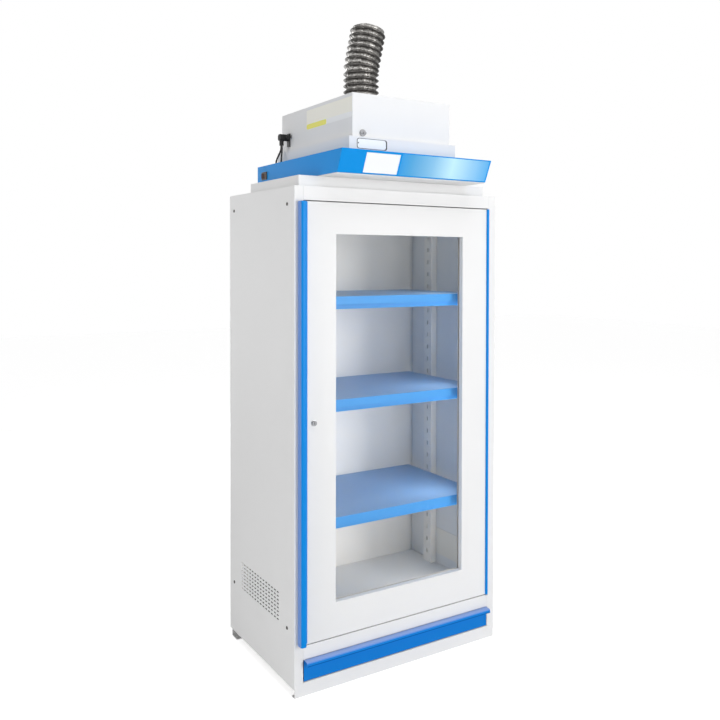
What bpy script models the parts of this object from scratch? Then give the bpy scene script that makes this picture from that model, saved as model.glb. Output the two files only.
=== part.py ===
# Ventilated storage cabinet with a glazed door, a drawer and a filter unit on its roof.
#
# World frame: metres, +Z up, +X to the right when facing the door, -Y towards the user.
# The origin lies on the floor, below the centre of the whole object's box.

import math

import bmesh
import bpy
from mathutils import Matrix, Vector

# Shared sizes

FIT = 0.0003  # gap between pieces that touch
OVERRUN = 0.002  # how far a cutter passes through what it cuts
TOUCH = 0.00001  # points nearer than this are one point
SHEET = 0.0015  # steel sheet
TAU = 2 * math.pi
SIDES = 24  # sides of a turned piece
FINE_SIDES = 12  # sides of a small turned piece

# Cabinet body

WIDTH = 0.900
DEPTH = 0.600
BODY_HEIGHT = 1.800
CONSOLE_OVERHANG = 0.122  # the control housing's top edge stands this far in front of the body
FRONT = (CONSOLE_OVERHANG - DEPTH) / 2
BACK = FRONT + DEPTH
HALF = WIDTH / 2

RAIL_HEIGHT = 0.048
RAIL_DEPTH = 0.025
RAIL_WALL = 0.0025
REAR_RAIL_DEPTH = 0.048
REAR_RAIL_INSET = 0.016
SIDE_BOTTOM = 0.0295
STILE = 0.0345
STILE_RETURN = 0.025
REAR_FOLD = 0.020
ROOF_CLEARANCE = 0.0006

OPEN_HALF = HALF - STILE  # half of the clear width between the stiles
INNER_HALF = HALF - SHEET - FIT  # half of the width between the side panels

GRILLE_COLUMNS = 14
GRILLE_ROWS = 8
GRILLE_START = 0.130
GRILLE_REAR = 0.120
GRILLE_END = DEPTH - GRILLE_REAR
GRILLE_BOTTOM = 0.231
GRILLE_TOP = 0.335
GRILLE_SLOT = 0.016
GRILLE_SLOT_HEIGHT = 0.005

SCREW_RADIUS = 0.006
SCREW_HEAD = 0.0018
SCREW_FRONT = 0.058
SCREW_REAR = 0.046
SCREW_LOW = 0.231
SCREW_DROP = 0.062  # from the roof down to the upper screws
SCREW_DEPTHS = (SCREW_FRONT, DEPTH - SCREW_REAR)
SCREW_HEIGHTS = (SCREW_LOW, BODY_HEIGHT - SCREW_DROP)

MIDDLE_RAIL_TOP = 0.178
MIDDLE_RAIL_BOTTOM = 0.130
MIDDLE_RAIL_DEPTH = 0.060
FLOOR_LIP = 0.022
FLOOR_SETBACK = 0.0375
HEADER_BOTTOM = 0.0490  # from the roof down to the header's lower edge
STOP_DROP = 0.065  # from the roof down to the end of the header's door stop
ROOF_HOLE_RADIUS = 0.095

# Uprights and shelves

UPRIGHT_INSET = 0.031
STOP_INSET = 0.050
UPRIGHT_FACE = HALF - UPRIGHT_INSET
STOP_INNER = HALF - STOP_INSET
UPRIGHT_WEB = 0.054
UPRIGHT_REAR_INSET = 0.198
UPRIGHT_REAR = DEPTH - UPRIGHT_REAR_INSET
UPRIGHT_SHEET = 0.0020
SLOT_PITCH = 0.0543
SLOT_FIRST = 0.0567  # from the floor of the storage space to the first clip
SLOT_WIDTH = 0.007
SLOT_BELOW = 0.015
SLOT_ABOVE = 0.003

SHELF_SIDE_GAP = 0.007
SHELF_REAR_GAP = 0.027
SHELF_HALF = UPRIGHT_FACE - SHELF_SIDE_GAP
SHELF_FRONT = 0.055
SHELF_DEPTH = DEPTH - SHELF_FRONT - SHELF_REAR_GAP
SHELF_LIP = 0.030
SHARES_OF_SLOTS = (0.23, 0.54, 0.81)  # how far up the row of slots each shelf hangs
STIFFENER_DROP = 0.018
STIFFENER_DEPTH = 0.040
CLIP_THICKNESS = 0.003
CLIP_REACH = 0.014
CLIP_WIDTH = 0.024

# Door

DOOR_GAP = 0.004
DOOR_SIDE_GAP = 0.003
DOOR_HALF = OPEN_HALF - DOOR_SIDE_GAP
DOOR_BOTTOM = MIDDLE_RAIL_TOP + DOOR_GAP
DOOR_TOP = BODY_HEIGHT - HEADER_BOTTOM - DOOR_GAP
DOOR_THICKNESS = 0.032
DOOR_FLANGE = 0.012
DOOR_REAR_PLAY = 0.0005  # between the closed door and its gasket
GLAZING_SEAT = 0.015
LINER = 0.0012
LINER_MARGIN = 0.001
DOOR_STILE = 0.1275
DOOR_SILL = 0.124
DOOR_HEAD = 0.113
WINDOW_HALF = DOOR_HALF - DOOR_STILE
WINDOW_BOTTOM = DOOR_BOTTOM + DOOR_SILL
WINDOW_TOP = DOOR_TOP - DOOR_HEAD
GLASS = 0.004
GLASS_OVERLAP = 0.012
BEAD = 0.004
BEAD_WIDTH = 0.010
GASKET = 0.0047
GASKET_WIDTH = 0.010
GRIP_REACH = 0.0235  # how far the grip stands out beyond the door's edge
GRIP_STEP = 0.0009
GRIP_OUTER = DOOR_HALF + GRIP_REACH
GRIP_INNER = DOOR_HALF + GRIP_STEP
GRIP_PROUD = 0.028
GRIP_LIFT = 0.004
GRIP_DROP = 0.0015
GRIP_BOTTOM = DOOR_BOTTOM + GRIP_LIFT
GRIP_TOP = DOOR_TOP - GRIP_DROP
GRIP_SHEET = 0.0020
GRIP_ROLL = 0.006
GRIP_LIP = 0.012
HINGE_INSET = 0.002
HINGE_AXIS_X = DOOR_HALF - HINGE_INSET
HINGE_AXIS_Y = -0.0045
HINGE_STRIP_WIDTH = 0.010
HINGE_STRIP_PROUD = 0.009
PIVOT_PIN_RADIUS = 0.0025
PIVOT_PLAY = 0.0001
PIVOT_PLATE = 0.0020
PIVOT_PIN_LENGTH = 0.012
LOCK_INSET = 0.0388
LOCK_RISE = 0.7818
LOCK_X = LOCK_INSET - DOOR_HALF
LOCK_Z = DOOR_BOTTOM + LOCK_RISE
LOCK_RADIUS = 0.0095
LOCK_COLLAR = 0.0120
LOCK_PROUD = 0.006
LOCK_PLAY = 0.0001
CAM_LENGTH = 0.038
CAM_WIDTH = 0.014
CAM_THICKNESS = 0.0025

# Drawer

DRAWER_BOTTOM = 0.053
DRAWER_TOP = 0.1285
DRAWER_GRIP = 0.026
DRAWER_ROLL = 0.008
DRAWER_LIP_BOTTOM = 0.1125
DRAWER_SHEET = 0.0015
TRAY_INSET = 0.014
TRAY_REAR_GAP = 0.080
TRAY_HALF = DOOR_HALF - TRAY_INSET
TRAY_BACK = DEPTH - TRAY_REAR_GAP
TRAY_TOP = 0.117
TRAY_SHEET = 0.0012
RUNNER_START = 0.026
RUNNER_REAR_GAP = 0.094
RUNNER_LENGTH = DEPTH - RUNNER_START - RUNNER_REAR_GAP
RUNNER_SHEET = 0.0012
RUNNER_CLEARANCE = 0.0005
RUNNER_OUTER_HEIGHT = 0.045
RUNNER_LIP = 0.0065
RUNNER_CENTRE = 0.087
BRACKET_WIDTH = 0.040

# Roof unit

SPACER_INSET = 0.035
SPACER_HALF = HALF - SPACER_INSET
SPACER_FRONT = 0.038
SPACER_REAR_GAP = 0.132
SPACER_DEPTH = DEPTH - SPACER_FRONT - SPACER_REAR_GAP
SPACER_HEIGHT = 0.042
CONSOLE_HALF = 0.3285
CONSOLE_HEIGHT = 0.084
CONSOLE_FOOT_OVERHANG = 0.084
CONSOLE_WALL = 0.0020
CONSOLE_BASE = 0.003
STACK_HOLE_RADIUS = 0.080
COLLAR_RADIUS = 0.0790
COLLAR_WALL = 0.0015
DISPLAY_INSET = 0.172
DISPLAY_CENTRE = DISPLAY_INSET - CONSOLE_HALF
DISPLAY_HALF = 0.0705
DISPLAY_HALF_HEIGHT = 0.037
DISPLAY_THICKNESS = 0.004
BOARD_THICKNESS = 0.0016
BOARD_STANDOFF = 0.008
BOARD_INSET = 0.008
STANDOFF_RADIUS = 0.004
SWITCH_REAR = 0.072
SWITCH_CENTRE = DEPTH - SWITCH_REAR
SWITCH_HALF_LENGTH = 0.025
SWITCH_HALF_HEIGHT = 0.016
SWITCH_RIM = 0.005
SWITCH_PROUD = 0.003
SWITCH_DEPTH = 0.022
SWITCH_TILT = math.radians(20)
ROCKER_HALF_LENGTH = 0.017
ROCKER_HALF_HEIGHT = 0.0095
ROCKER_RISE = 0.0045
ROCKER_PLAY = 0.0008

BASE_INSET = 0.0905
BASE_HALF = CONSOLE_HALF - BASE_INSET
BASE_FRONT = -0.010
BASE_HEIGHT = 0.064
HOOD_INSET = 0.020
HOOD_HALF = BASE_HALF - HOOD_INSET
HOOD_FRONT = 0.002
HOOD_REAR_GAP = 0.002
HOOD_DEPTH = DEPTH - HOOD_FRONT - HOOD_REAR_GAP
HOOD_HEIGHT = 0.159
HOOD_WALL = 0.0020
CASSETTE_MARGIN = 0.012
CASSETTE_HEIGHT = 0.090
CASSETTE_HOLE_RADIUS = 0.085
FLANGE = 0.020
HOOD_LOCK_INSET = 0.043
HOOD_LOCK_X = HOOD_LOCK_INSET - HOOD_HALF
HOOD_LOCK_RISE = 0.015
HOOD_LOCK_RADIUS = 0.013
HOOD_LOCK_PROUD = 0.006
HOOD_LOCK_SHANK = 0.005

FAN_OFFSET = 0.012  # the fan and the duct sit this far behind the middle
FAN_CENTRE = DEPTH / 2 + FAN_OFFSET
FAN_RADIUS = 0.095
FAN_EYE_RADIUS = 0.058
FAN_HEIGHT = 0.052
FAN_PLATE_THICKNESS = 0.0015
FAN_DISC = 0.002
BLADES = 11
BLADE_THICKNESS = 0.0018
BLADE_SWEEP = 0.70
FAN_PLATE_RISE = 0.006
NOZZLE_RADIUS = 0.052
NOZZLE_DEPTH = 0.010
FAN_GAP = 0.006
MOTOR_RADIUS = 0.044
MOTOR_HEIGHT = 0.030
MOTOR_SHAFT_RADIUS = 0.006
SHAFT_PLAY = 0.0001
FAN_HUB_WALL = 0.012
BRIDGE_WIDTH = 0.050
BRIDGE_FOOT = 0.020
BRIDGE_HALF = 0.125

SPIGOT_RADIUS = 0.0560
SPIGOT_HEIGHT = 0.042
SPIGOT_FLANGE = 0.012
DUCT_RADIUS = 0.0735  # over the crests of the ribs
DUCT_RIB = 0.0140
DUCT_WALL = 0.0015
DUCT_PITCH = 0.0243
DUCT_STRAIGHT = DUCT_RADIUS + DUCT_RADIUS  # each end runs straight for one diameter
DUCT_BEND = 0.042
LEAN_SHARE = 0.21  # how far the upper end leans over for its height
DUCT_SIDES = 8
SHARES_OF_PITCH = (0.25, 0.75)  # the valley and the crest of each rib
BORE_STEPS = 8
CLAMP_WIDTH = 0.012
CLAMP_THICKNESS = 0.0015
CLAMP_SCREW_RADIUS = 0.004
CLAMP_SCREW_LENGTH = 0.024

INLET_REAR = 0.071
INLET_RISE = 0.0485
INLET_HALF_WIDTH = 0.012
INLET_HALF_HEIGHT = 0.027
INLET_CENTRE = DEPTH - INLET_REAR
INLET_PROUD = 0.005
INLET_DEPTH = 0.020
SOCKET_RISE = 0.0575
SOCKET_HALF = 0.012
PLUG_LENGTH = 0.040
PLUG_HALF = 0.013
PLUG_STUB = 0.018
PLUG_STUB_RADIUS = 0.009
PLUG_ARM_RADIUS = 0.009
PLUG_ARM_LENGTH = 0.020
LEAD_RADIUS = 0.0035
GROMMET_RADIUS = 0.0075
GROMMET_HEIGHT = 0.004
LEAD_END_INSETS = (0.0635, 0.0485)  # from the console's left side
LEAD_END_REARS = (0.094, 0.076)
LEAD_STEPS = 16
LEAD_RESOLUTION = 2

# Looks: colour, roughness and metallic value

WHITE = ((0.86, 0.86, 0.85), 0.45, 0.0)
BLUE = ((0.0, 0.28, 0.74), 0.40, 0.0)
STEEL = ((0.62, 0.63, 0.64), 0.35, 1.0)
DARK = ((0.03, 0.03, 0.035), 0.50, 0.0)
RUBBER = ((0.05, 0.05, 0.05), 0.80, 0.0)
GLASS_LOOK = ((0.80, 0.88, 0.90), 0.05, 0.0)
GREEN = ((0.02, 0.25, 0.12), 0.50, 0.0)
COPPER = ((0.50, 0.30, 0.14), 0.45, 0.0)
FOIL = ((0.38, 0.38, 0.37), 0.35, 1.0)
FILTER = ((0.75, 0.72, 0.62), 0.90, 0.0)


PARTS = None
CUTTERS = None


# Modelling helpers

def new_collection(name, shown):
    group = bpy.data.collections.new(name)
    bpy.context.scene.collection.children.link(group)
    group.hide_render = not shown
    return group


def new_material(name, look):
    colour, roughness, metallic = look
    material = bpy.data.materials.new(name)
    material.use_nodes = True
    shader = material.node_tree.nodes["Principled BSDF"]
    shader.inputs["Base Color"].default_value = (*colour, 1)
    shader.inputs["Roughness"].default_value = roughness
    shader.inputs["Metallic"].default_value = metallic
    return material


def finish_mesh(name, bm, look, origin=(0, 0, 0)):
    """Turn a bmesh in world coordinates into one named object with its origin at a given point."""
    bmesh.ops.transform(bm, matrix=Matrix.Translation(-Vector(origin)), verts=bm.verts)
    mesh = bpy.data.meshes.new(name)
    bm.to_mesh(mesh)
    bm.free()
    piece = bpy.data.objects.new(name, mesh)
    piece.location = origin
    if look is None:
        CUTTERS.objects.link(piece)
        piece.hide_render = True
        piece.display_type = "WIRE"
    else:
        PARTS.objects.link(piece)
        mesh.materials.append(new_material(name, look))
    return piece


def add_box(bm, low, high):
    """Add a box between two corners."""
    low, high = Vector(low), Vector(high)
    made = bmesh.ops.create_cube(bm, size=1)["verts"]
    size = high - low
    matrix = Matrix.Translation((low + high) / 2) @ Matrix.Diagonal((*size, 1))
    bmesh.ops.transform(bm, matrix=matrix, verts=made)
    return made


def add_cylinder(bm, start, end, radius, sides=SIDES, end_radius=None):
    """Add a cylinder or cone between two points."""
    start, end = Vector(start), Vector(end)
    run = end - start
    far = radius if end_radius is None else end_radius
    made = bmesh.ops.create_cone(bm, cap_ends=True, segments=sides, radius1=radius,
                                 radius2=far, depth=run.length)["verts"]
    turn = Vector((0, 0, 1)).rotation_difference(run).to_matrix().to_4x4()
    bmesh.ops.transform(bm, matrix=Matrix.Translation((start + end) / 2) @ turn, verts=made)
    return made


def boxes(name, look, pairs, origin=(0, 0, 0)):
    bm = bmesh.new()
    for low, high in pairs:
        add_box(bm, low, high)
    return finish_mesh(name, bm, look, origin)


def prism(name, look, outline, axis, start, end, origin=(0, 0, 0)):
    """Extrude a closed outline, given in the two axes that follow the extrusion's axis."""
    bm = bmesh.new()
    add_prism(bm, outline, axis, start, end)
    return finish_mesh(name, bm, look, origin)


def place(axis, across, up, along):
    """World point from a section's two coordinates and its place along the extrusion."""
    if axis == "X":
        return Vector((along, across, up))
    if axis == "Y":
        return Vector((across, along, up))
    return Vector((across, up, along))


def add_prism(bm, outline, axis, start, end):
    corners = [bm.verts.new(place(axis, across, up, start)) for across, up in outline]
    face = bm.faces.new(corners)
    top = bmesh.ops.extrude_face_region(bm, geom=[face])["geom"]
    moved = [item for item in top if isinstance(item, bmesh.types.BMVert)]
    shift = place(axis, 0, 0, end) - place(axis, 0, 0, start)
    bmesh.ops.translate(bm, verts=moved, vec=shift)
    bmesh.ops.recalc_face_normals(bm, faces=bm.faces)
    return corners + moved


def folded(name, look, line, axis, start, end, sheet=SHEET, origin=(0, 0, 0)):
    """A folded sheet: its centre line in section, extruded open and given its thickness."""
    bm = bmesh.new()
    corners = [bm.verts.new(place(axis, across, up, start)) for across, up in line]
    edges = [bm.edges.new(pair) for pair in zip(corners, corners[1:])]
    swept = bmesh.ops.extrude_edge_only(bm, edges=edges)["geom"]
    moved = [item for item in swept if isinstance(item, bmesh.types.BMVert)]
    shift = place(axis, 0, 0, end) - place(axis, 0, 0, start)
    bmesh.ops.translate(bm, verts=moved, vec=shift)
    piece = finish_mesh(name, bm, look, origin)
    thicken(piece, sheet, 0)
    return piece


def thicken(piece, sheet, offset):
    wall = piece.modifiers.new("Wall", "SOLIDIFY")
    wall.thickness = sheet
    wall.offset = offset
    wall.use_even_offset = True
    wall.use_quality_normals = True
    return wall


def combine(piece, other, operation):
    """Cut, join or intersect with another object, kept among the cutters."""
    step = piece.modifiers.new(operation.title(), "BOOLEAN")
    step.operation = operation
    step.object = other
    step.solver = "EXACT"
    return step


def cut_boxes(piece, pairs):
    cutter = boxes(piece.name + "_cut_" + str(len(piece.modifiers)), None, pairs)
    combine(piece, cutter, "DIFFERENCE")


def cut_hole(piece, start, end, radius, sides=SIDES):
    bm = bmesh.new()
    add_cylinder(bm, start, end, radius, sides)
    cutter = finish_mesh(piece.name + "_cut_" + str(len(piece.modifiers)), bm, None)
    combine(piece, cutter, "DIFFERENCE")


def join_boxes(piece, pairs):
    for low, high in pairs:
        added = boxes(piece.name + "_join_" + str(len(piece.modifiers)), None, [(low, high)])
        combine(piece, added, "UNION")


def join_cylinder(piece, start, end, radius, sides=SIDES):
    bm = bmesh.new()
    add_cylinder(bm, start, end, radius, sides)
    added = finish_mesh(piece.name + "_join_" + str(len(piece.modifiers)), bm, None)
    combine(piece, added, "UNION")


def turned(name, look, profile, centre, sides=SIDES, axis="Z", origin=None):
    """A turned piece: a closed profile of radius and height, swept with the Screw modifier."""
    bm = bmesh.new()
    corners = [bm.verts.new((radius, 0, height)) for radius, height in profile]
    closed = profile[0][0] > 0 and profile[-1][0] > 0
    pairs = list(zip(corners, corners[1:]))
    if closed:
        pairs.append((corners[-1], corners[0]))
    for pair in pairs:
        bm.edges.new(pair)
    mesh = bpy.data.meshes.new(name)
    bm.to_mesh(mesh)
    bm.free()
    piece = bpy.data.objects.new(name, mesh)
    PARTS.objects.link(piece)
    mesh.materials.append(new_material(name, look))
    piece.location = centre
    if axis == "Y":
        piece.rotation_euler = (math.pi / 2, 0, 0)
    turn = piece.modifiers.new("Turn", "SCREW")
    turn.axis = "Z"
    turn.steps = sides
    turn.render_steps = sides
    turn.use_merge_vertices = True
    turn.merge_threshold = TOUCH
    turn.use_smooth_shade = True
    return piece


def smooth(piece, angle=math.radians(40)):
    piece.data.shade_smooth()
    piece.data.set_sharp_from_angle(angle=angle)


def mirrored(piece, name):
    """The other side's piece: its own mirrored mesh about the middle plane."""
    source = bpy.data.meshes.new_from_object(piece.evaluated_get(bpy.context.evaluated_depsgraph_get()))
    bm = bmesh.new()
    bm.from_mesh(source)
    bmesh.ops.transform(bm, matrix=piece.matrix_world, verts=bm.verts)
    bmesh.ops.transform(bm, matrix=Matrix.Diagonal((-1, 1, 1, 1)), verts=bm.verts)
    bmesh.ops.reverse_faces(bm, faces=bm.faces)
    bpy.data.meshes.remove(source)
    look = (tuple(piece_colour(piece)), piece_value(piece, "Roughness"), piece_value(piece, "Metallic"))
    flip = piece.location
    return finish_mesh(name, bm, look, (-flip.x, flip.y, flip.z))


def piece_value(piece, socket):
    shader = piece.data.materials[0].node_tree.nodes["Principled BSDF"]
    return shader.inputs[socket].default_value


def piece_colour(piece):
    return piece_value(piece, "Base Color")[:3]


def rounded(line, radius, steps=3):
    """Replace each inner corner of a section line by an arc."""
    made = [line[0]]
    for before, corner, after in zip(line, line[1:], line[2:]):
        corner = Vector(corner)
        back = (Vector(before) - corner).normalized()
        ahead = (Vector(after) - corner).normalized()
        half = back.angle(ahead) / 2
        inset = radius / math.tan(half)
        centre = corner + (back + ahead).normalized() * radius / math.sin(half)
        first = corner + back * inset - centre
        last = corner + ahead * inset - centre
        sweep = first.angle_signed(last)
        for step in range(steps + 1):
            spoke = first.copy()
            spoke.rotate(Matrix.Rotation(-sweep * step / steps, 2))
            made.append(tuple(centre + spoke))
    made.append(line[-1])
    return made


def back(distance):
    """World Y of a place measured back from the front of the body."""
    return FRONT + distance


def both_sides(low, high):
    """A box on the right and its mirror image on the left."""
    return [(low, high), ((-high[0], low[1], low[2]), (-low[0], high[1], high[2]))]


# Sizes that follow from the cabinet body

FLOOR_TOP = MIDDLE_RAIL_TOP + FIT + SHEET
STOP_FACE = DOOR_THICKNESS + DOOR_REAR_PLAY + GASKET + FIT
RAIL_CLEAR = RAIL_HEIGHT + FIT
BACK_INNER = DEPTH - SHEET - FIT - SHEET - FIT  # where inner sheets end in front of the back panel
UPRIGHT_TOP = BODY_HEIGHT - STOP_DROP - FIT
WINDOW_REVEAL = DOOR_THICKNESS - LINER - FIT - GLASS - FIT - BEAD - FIT
HINGE = (HINGE_AXIS_X, FRONT + HINGE_AXIS_Y, DOOR_BOTTOM)
SLOT_COUNT = int((UPRIGHT_TOP - FLOOR_TOP - SLOT_FIRST - SLOT_FIRST) / SLOT_PITCH) + 1
SHELF_SLOTS = [round(share * (SLOT_COUNT - 1)) for share in SHARES_OF_SLOTS]


def slot_height(slot):
    return FLOOR_TOP + SLOT_FIRST + slot * SLOT_PITCH


def shelf_top(level):
    return slot_height(SHELF_SLOTS[level]) + FIT + SHELF_LIP


def build_rails():
    """Two channels that carry the cabinet, open at their ends."""
    wall = RAIL_WALL / 2
    rear = DEPTH - REAR_RAIL_INSET
    rails = (("base_rail_front", wall, RAIL_DEPTH), ("base_rail_rear", rear - wall, rear - REAR_RAIL_DEPTH))
    for name, web, lip in rails:
        line = [(back(lip), wall), (back(web), wall)]
        line += [(back(web), RAIL_HEIGHT - wall), (back(lip), RAIL_HEIGHT - wall)]
        folded(name, WHITE, line, "X", -INNER_HALF, INNER_HALF, RAIL_WALL)


def build_side_panel():
    """One sheet with the front stile, its return and the rear fold, and the air intake."""
    wall = SHEET / 2
    line = [(-OPEN_HALF - wall, back(STILE_RETURN)), (-OPEN_HALF - wall, back(wall))]
    line += [(-HALF + wall, back(wall)), (-HALF + wall, back(DEPTH - wall))]
    line += [(-HALF + REAR_FOLD, back(DEPTH - wall))]
    panel = folded("side_panel_left", WHITE, line, "Z", SIDE_BOTTOM, BODY_HEIGHT)
    low = SIDE_BOTTOM - OVERRUN
    notches = [((-INNER_HALF - FIT, back(-OVERRUN), low),
                (-OPEN_HALF + OVERRUN, back(STILE_RETURN + OVERRUN), RAIL_CLEAR))]
    cut_boxes(panel, notches)
    column = (GRILLE_END - GRILLE_START - GRILLE_SLOT) / (GRILLE_COLUMNS - 1)
    row = (GRILLE_TOP - GRILLE_BOTTOM - GRILLE_SLOT_HEIGHT) / (GRILLE_ROWS - 1)
    slots = []
    for across in range(GRILLE_COLUMNS):
        for up in range(GRILLE_ROWS):
            near = GRILLE_START + across * column
            low = GRILLE_BOTTOM + up * row
            slots.append(((-HALF - OVERRUN, back(near), low),
                          (-HALF + SHEET + OVERRUN, back(near + GRILLE_SLOT), low + GRILLE_SLOT_HEIGHT)))
    cut_boxes(panel, slots)
    for deep in SCREW_DEPTHS:
        for height in SCREW_HEIGHTS:
            join_cylinder(panel, (-HALF - SCREW_HEAD, back(deep), height),
                          (-HALF + SHEET / 2, back(deep), height), SCREW_RADIUS, FINE_SIDES)
    mirrored(panel, "side_panel_right")


def build_shell():
    """The sheets between the side panels."""
    wall = SHEET / 2
    floor = RAIL_CLEAR
    notch = OPEN_HALF - FIT
    gap = STILE_RETURN + FIT
    near, far = back(0), back(BACK_INNER)
    panel = boxes("bottom_panel", WHITE, [((-INNER_HALF, near, floor), (INNER_HALF, far, floor + SHEET))])
    cut_boxes(panel, both_sides((notch, back(-OVERRUN), floor - OVERRUN),
                                (HALF, back(gap), floor + SHEET + OVERRUN)))
    boxes("back_panel", WHITE, [((-INNER_HALF, back(BACK_INNER + FIT), floor),
                                 (INNER_HALF, back(BACK_INNER + FIT + SHEET), BODY_HEIGHT - ROOF_CLEARANCE))])

    roof = BODY_HEIGHT - wall
    header = BODY_HEIGHT - HEADER_BOTTOM + wall
    line = [(back(BACK_INNER), roof), (back(wall), roof), (back(wall), header)]
    line += [(back(STOP_FACE + wall), header), (back(STOP_FACE + wall), BODY_HEIGHT - STOP_DROP)]
    panel = folded("top_panel", WHITE, line, "X", -INNER_HALF, INNER_HALF)
    cut_boxes(panel, both_sides((notch, back(-OVERRUN), header - SHEET - OVERRUN),
                                (HALF, back(gap), BODY_HEIGHT + OVERRUN)))
    axis = back(FAN_CENTRE)
    cut_hole(panel, (0, axis, roof - SHEET), (0, axis, roof + SHEET), ROOF_HOLE_RADIUS)

    line = [(back(MIDDLE_RAIL_DEPTH), MIDDLE_RAIL_TOP - wall), (back(wall), MIDDLE_RAIL_TOP - wall)]
    line += [(back(wall), MIDDLE_RAIL_BOTTOM + wall), (back(MIDDLE_RAIL_DEPTH), MIDDLE_RAIL_BOTTOM + wall)]
    folded("middle_rail", WHITE, line, "X", -notch, notch)

    line = [(back(STOP_FACE + wall), FLOOR_TOP + FLOOR_LIP), (back(STOP_FACE + wall), FLOOR_TOP - wall)]
    line += [(back(BACK_INNER), FLOOR_TOP - wall)]
    panel = folded("chamber_floor", WHITE, line, "X", -INNER_HALF, INNER_HALF)
    cut_boxes(panel, both_sides((STOP_INNER - FIT, back(STOP_FACE - OVERRUN), FLOOR_TOP + FIT),
                                (HALF, back(STOP_FACE + SHEET + OVERRUN), FLOOR_TOP + FLOOR_LIP + OVERRUN)))


def build_uprights():
    """Slotted posts inside the side panels, the front pair folded on as the door's stop."""
    wall = UPRIGHT_SHEET / 2
    web = UPRIGHT_FACE + wall
    front = STOP_FACE + wall
    line = [(-STOP_INNER, back(front)), (-web, back(front)), (-web, back(front + UPRIGHT_WEB))]
    line += [(-INNER_HALF, back(front + UPRIGHT_WEB))]
    low = FLOOR_TOP + FIT + FIT
    upright = folded("upright_front_left", WHITE, line, "Z", low, UPRIGHT_TOP, UPRIGHT_SHEET)
    cut_boxes(upright, upright_slots(front + UPRIGHT_WEB / 2))
    add_clips(upright, front + UPRIGHT_WEB / 2)
    mirrored(upright, "upright_front_right")
    near = UPRIGHT_REAR + wall
    far = near + UPRIGHT_WEB
    line = [(-INNER_HALF, back(near)), (-web, back(near)), (-web, back(far)), (-INNER_HALF, back(far))]
    upright = folded("upright_rear_left", WHITE, line, "Z", low, UPRIGHT_TOP, UPRIGHT_SHEET)
    cut_boxes(upright, upright_slots((near + far) / 2))
    add_clips(upright, (near + far) / 2)
    mirrored(upright, "upright_rear_right")


def upright_slots(centre):
    slots = []
    for slot in range(SLOT_COUNT):
        height = slot_height(slot)
        near, far = back(centre - SLOT_WIDTH / 2), back(centre + SLOT_WIDTH / 2)
        slots.append(((-UPRIGHT_FACE - UPRIGHT_SHEET - OVERRUN, near, height - SLOT_BELOW),
                      (-UPRIGHT_FACE + OVERRUN, far, height + SLOT_ABOVE)))
    return slots


def build_shelves():
    """Shelves folded down all round, each with a stiffening channel behind its front lip."""
    for level, name in enumerate(("shelf_lower", "shelf_middle", "shelf_upper")):
        top = shelf_top(level)
        bm = bmesh.new()
        add_box(bm, (-SHELF_HALF, back(SHELF_FRONT), top - SHELF_LIP),
                (SHELF_HALF, back(SHELF_FRONT + SHELF_DEPTH), top))
        under = [face for face in bm.faces if face.normal.z < 0]
        bmesh.ops.delete(bm, geom=under, context="FACES")
        shelf = finish_mesh(name, bm, BLUE)
        thicken(shelf, SHEET, -1)
        wall = SHEET / 2
        near = SHELF_FRONT + SHEET + STIFFENER_DROP
        far = near + STIFFENER_DEPTH
        low = top - SHELF_LIP - STIFFENER_DROP + wall
        line = [(back(near), top - wall), (back(near), low), (back(far), low), (back(far), top - wall)]
        half = SHELF_HALF - CLIP_REACH
        channel = folded(name + "_channel", None, line, "X", -half, half)
        combine(shelf, channel, "UNION")


def add_clips(upright, centre):
    """The shelf clips hooked into one upright, seated in its slots."""
    half = CLIP_WIDTH / 2
    for slot in SHELF_SLOTS:
        top = slot_height(slot)
        join_boxes(upright, [((-UPRIGHT_FACE - UPRIGHT_SHEET / 2, back(centre - half), top - CLIP_THICKNESS),
                              (-UPRIGHT_FACE + CLIP_REACH, back(centre + half), top))])


def frame_loop(bm, low, high, deep):
    """A rectangle facing the front, as a closed loop of edges."""
    spots = ((low[0], low[1]), (high[0], low[1]), (high[0], high[1]), (low[0], high[1]))
    corners = [bm.verts.new((across, back(deep), up)) for across, up in spots]
    for pair in zip(corners, corners[1:] + corners[:1]):
        bm.edges.new(pair)
    return corners


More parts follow.
